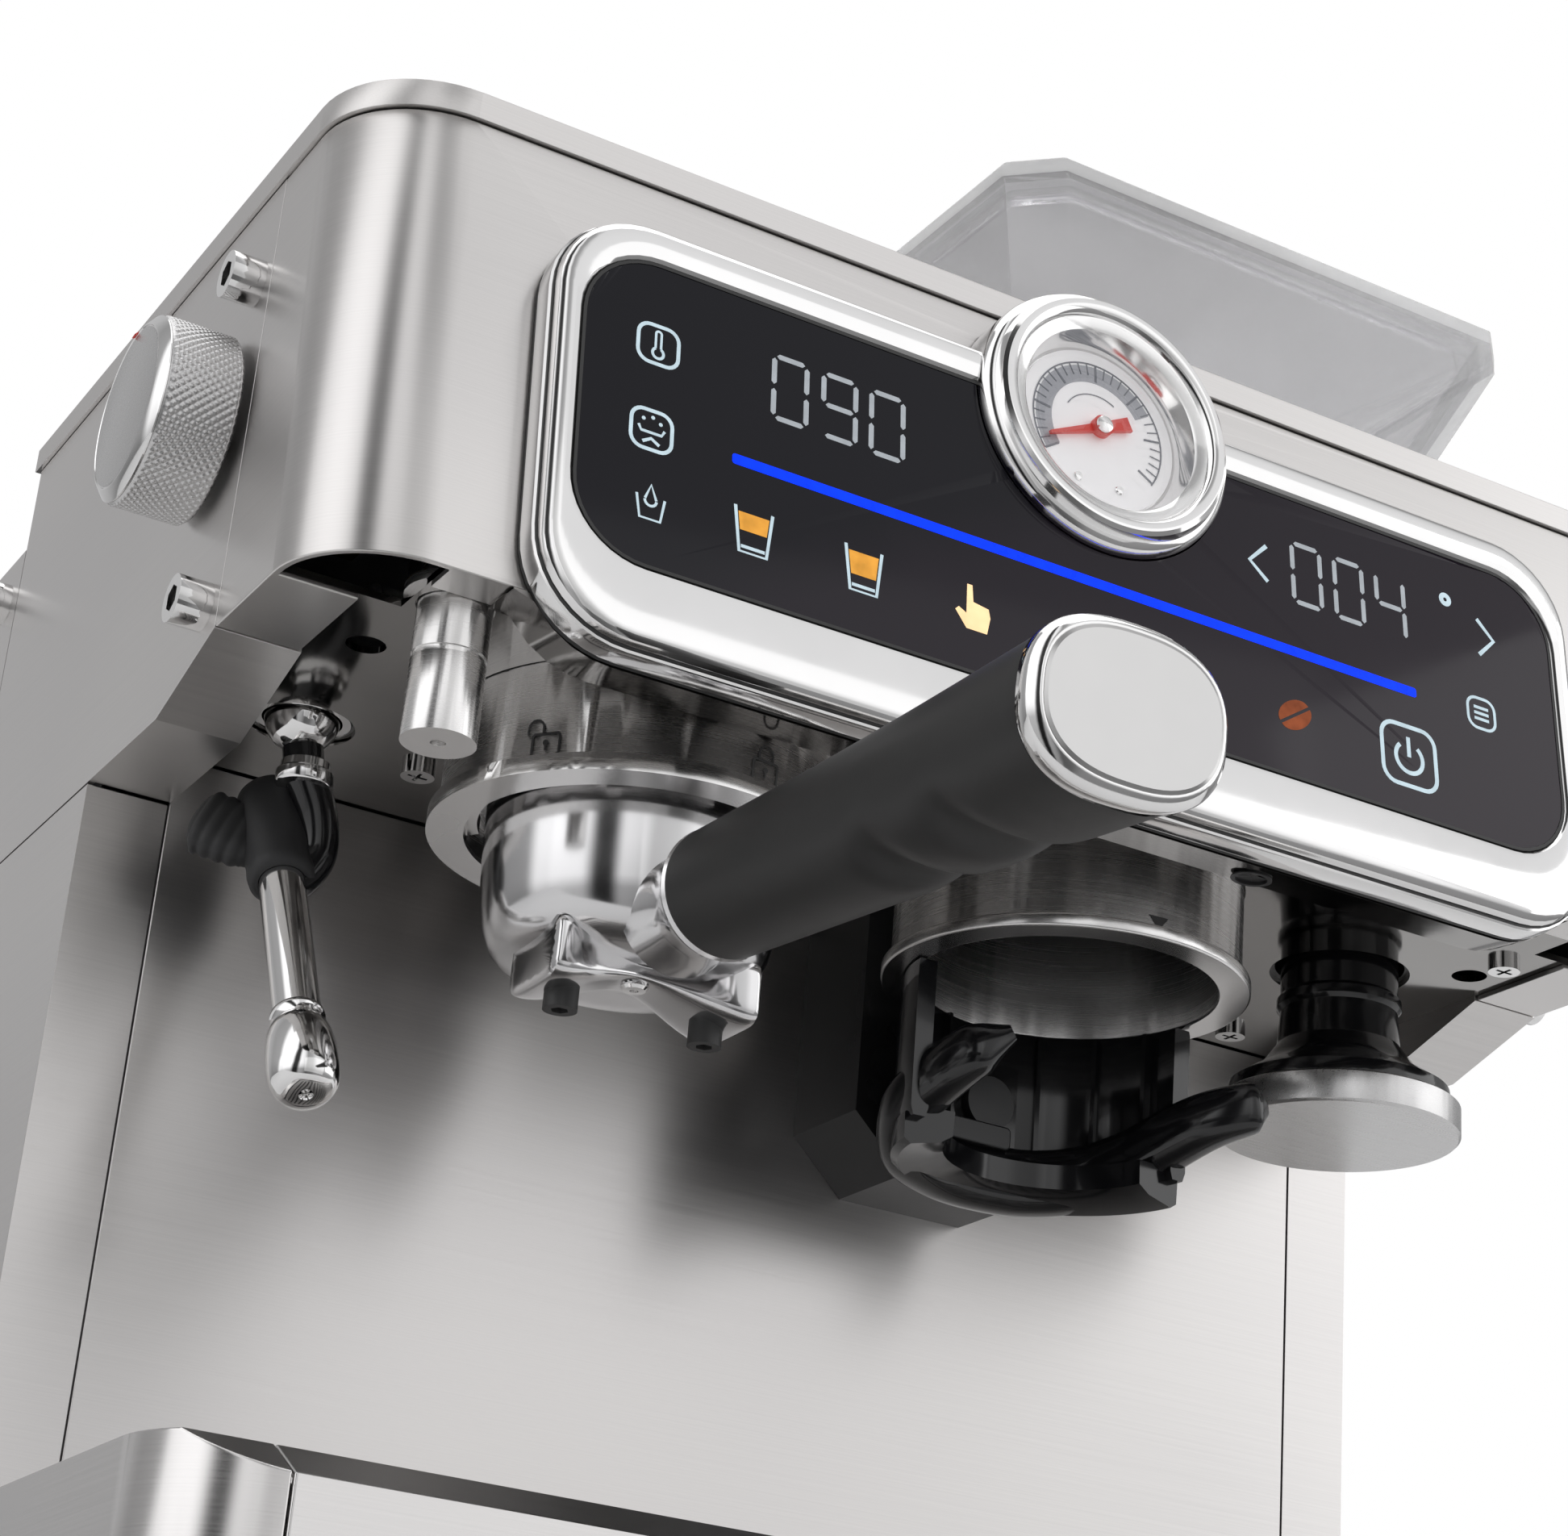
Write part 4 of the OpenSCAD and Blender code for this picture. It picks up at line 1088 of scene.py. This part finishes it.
# ---- outlet cradle ----
def fork_size(t):
    """The fork's section, full at the back of its bow and thin at its two tips."""
    tip = 0.35 + 0.65 * min(1, t / 0.07, (1 - t) / 0.05)
    full = math.sin(math.pi * t)
    return (3.8 + 2.4 * full) * tip, (5.2 + 2.2 * full) * tip


def cradle_body():
    """The fork that holds the portafilter, the ribbed skirt above it and its block and lower rim."""
    cradle = Shape()
    fork = smooth_path([
        (17.5, -5, -40), (11.5, 0, -44), (7.6, 10, -49.5), (8.0, 21, -53.5), (15, 31.5, -56.5),
        (26, 37, -57.5), (37, 38, -57.8), (49, 36, -57.4), (59.5, 30, -55.6), (66, 20, -52.4),
        (69, 9, -48.6), (72.5, 0, -45.6), (77.5, -6, -43.6), (81.5, -8, -42.8),
    ])
    sweep(cradle, fork, fork_size, 24, (0, 0, 1), 2.6)
    skirt = [(31.2, -23.4), (35.2, -23.4), (35.5, -24.5), (35.3, -56), (34.6, -58), (31.8, -58), (31.2, -56)]
    lathe(cradle, skirt, at_outlet, 60, 4, 176)
    for angle in (18, 42, 66, 114, 138, 162):
        c, s = turned(1, math.radians(angle))
        rib = [(31.6, -0.7), (29.0, -0.5), (29.0, 0.5), (31.6, 0.7)]
        cradle.prism([(r * c - w * s, r * s + w * c) for r, w in rib], -57, -24, at_outlet)
    cradle.prism([(27.2, 41.9), (46.8, 41.9), (46.8, 36), (27.2, 36)], -57, -32, at)
    lower_rim = [
        (24.0, -55.0), (33.5, -55.0), (35.4, -57.0), (35.2, -62.5), (33.6, -63.6), (27.0, -62.2),
        (24.2, -60.4),
    ]
    lathe(cradle, lower_rim, at_outlet, 48, 8, 172)
    cradle.make("cradle_body", "gloss", "machine", smooth=45, replaces=("grind_cradle",))


def cradle_clip():
    clip = Shape()
    clip.prism(rounded(17, 5.2, 1.2, 4), 0, 2.4, lambda x, y, d: at(33 + x, 33.5 - d, -50 + y))
    clip.make("cradle_clip", "housing", "machine", bevel=0.4)


def bezel_plug():
    """The black plug under the bezel's return."""
    plug = Shape()
    lathe(plug, [(0.1, 0.0), (4.2, 0.0), (4.6, -0.3), (4.6, -0.6), (3.6, -0.6), (3.4, 0.9), (0.1, 0.9)],
          lambda x, y, z: at(46.4 + x, -47.1 + y * 0.8, -9.9 + z), 32)
    plug.make("bezel_plug", "housing", "machine")


for build in (
    panel_digits, panel_blue_line, panel_icons, panel_cups, panel_hand, panel_bean,
    bezel_frame, bezel_seams, bezel_chin,
    gauge_rim, gauge_scale_band, gauge_ticks, gauge_studs,
    portafilter_cup, handle_body, handle_end, spout_body, spout_centre_screw,
    collar_marks, knob_body, knob_end, wand_tube, wand_link, wand_sleeve,
    cradle_body, cradle_clip, bezel_plug,
):
    build()


# ---- stage, all in metres ----
TABLE_HALF, TABLE_FRONT, TABLE_BACK, TABLE_THICK = 2.2, -0.26, 2.6, 0.02


def lay_floor():
    """A pale table top whose front edge ends in front of the machine."""
    corners = [
        (-TABLE_HALF, TABLE_FRONT), (TABLE_HALF, TABLE_FRONT),
        (TABLE_HALF, TABLE_BACK), (-TABLE_HALF, TABLE_BACK),
    ]
    me = bpy.data.meshes.new("floor")
    me.from_pydata([(x, y, z) for z in (-TABLE_THICK, 0) for x, y in corners], [],
                   [(0, 3, 2, 1), (4, 5, 6, 7), (0, 1, 5, 4), (1, 2, 6, 5), (2, 3, 7, 6), (3, 0, 4, 7)])
    floor = bpy.data.objects.new("floor", me)
    bpy.context.collection.objects.link(floor)
    m, nt, b = new_mat("floor_pale")
    pale = tones(nt, noise(nt, even(3)), (0.86, 0.86, 0.86), (0.90, 0.90, 0.90))
    nt.links.new(pale, b.inputs["Base Color"])
    b.inputs["Roughness"].default_value = 0.6
    me.materials.append(m)


def area(name, power, size, loc, target):
    """A square area light aimed at a target."""
    data = bpy.data.lights.new(name, "AREA")
    data.energy = power
    data.shape = "RECTANGLE"
    data.size = size
    data.size_y = size
    o = bpy.data.objects.new(name, data)
    bpy.context.collection.objects.link(o)
    o.location = loc
    o.rotation_euler = (Vector(target) - Vector(loc)).to_track_quat("-Z", "Y").to_euler()


def light_studio():
    """White to the camera; to the metal, bright and dark upright bands that fade towards the floor."""
    world = bpy.data.worlds.new("studio")
    bpy.context.scene.world = world
    world.use_nodes = True
    nt = world.node_tree
    nt.nodes.clear()
    out = nt.nodes.new("ShaderNodeOutputWorld")
    to_camera = nt.nodes.new("ShaderNodeBackground")
    to_camera.inputs["Color"].default_value = (1, 1, 1, 1)
    surround = nt.nodes.new("ShaderNodeBackground")
    mixer = nt.nodes.new("ShaderNodeMixShader")
    light_path = nt.nodes.new("ShaderNodeLightPath")
    tc = nt.nodes.new("ShaderNodeTexCoord")
    around = nt.nodes.new("ShaderNodeTexGradient")
    around.gradient_type = "RADIAL"
    nt.links.new(tc.outputs["Generated"], around.inputs["Vector"])
    bands = ramp(nt, around.outputs["Fac"], [(p, (k, k, k * 1.01)) for p, k in (
        (0.0, 1.5), (0.075, 1.5), (0.10, 0.04), (0.135, 0.04), (0.155, 1.2), (0.185, 1.0), (0.215, 0.34),
        (0.265, 0.45), (0.30, 0.85), (0.38, 0.85), (0.45, 0.7), (0.54, 0.30), (0.66, 0.50), (0.80, 0.52),
        (0.87, 0.34), (0.94, 0.40), (0.965, 1.35), (1.0, 1.35),
    )])
    sep = nt.nodes.new("ShaderNodeSeparateXYZ")
    nt.links.new(tc.outputs["Generated"], sep.inputs[0])
    height = map_range(nt, sep.outputs["Z"], -1, 1)
    levels = ramp(nt, height, [(p, (k, k, k)) for p, k in (
        (0.0, 0.25), (0.42, 0.35), (0.52, 0.75), (0.66, 1.0), (0.8, 1.0), (1.0, 0.9),
    )])
    nt.links.new(multiply(nt, bands, levels), surround.inputs["Color"])
    nt.links.new(light_path.outputs["Is Camera Ray"], mixer.inputs[0])
    nt.links.new(surround.outputs[0], mixer.inputs[1])
    nt.links.new(to_camera.outputs[0], mixer.inputs[2])
    nt.links.new(mixer.outputs[0], out.inputs["Surface"])


lay_floor()
area("key", 6, 2.4, (0.3, -2.0, 0.5), (0, 0, 0.15))
area("fill", 4, 1.2, (1.5, -0.8, 0.7), (0, 0, 0.2))
area("top", 6, 1.4, (0.1, 0.2, 1.8), (0, 0, 0.3))
light_studio()
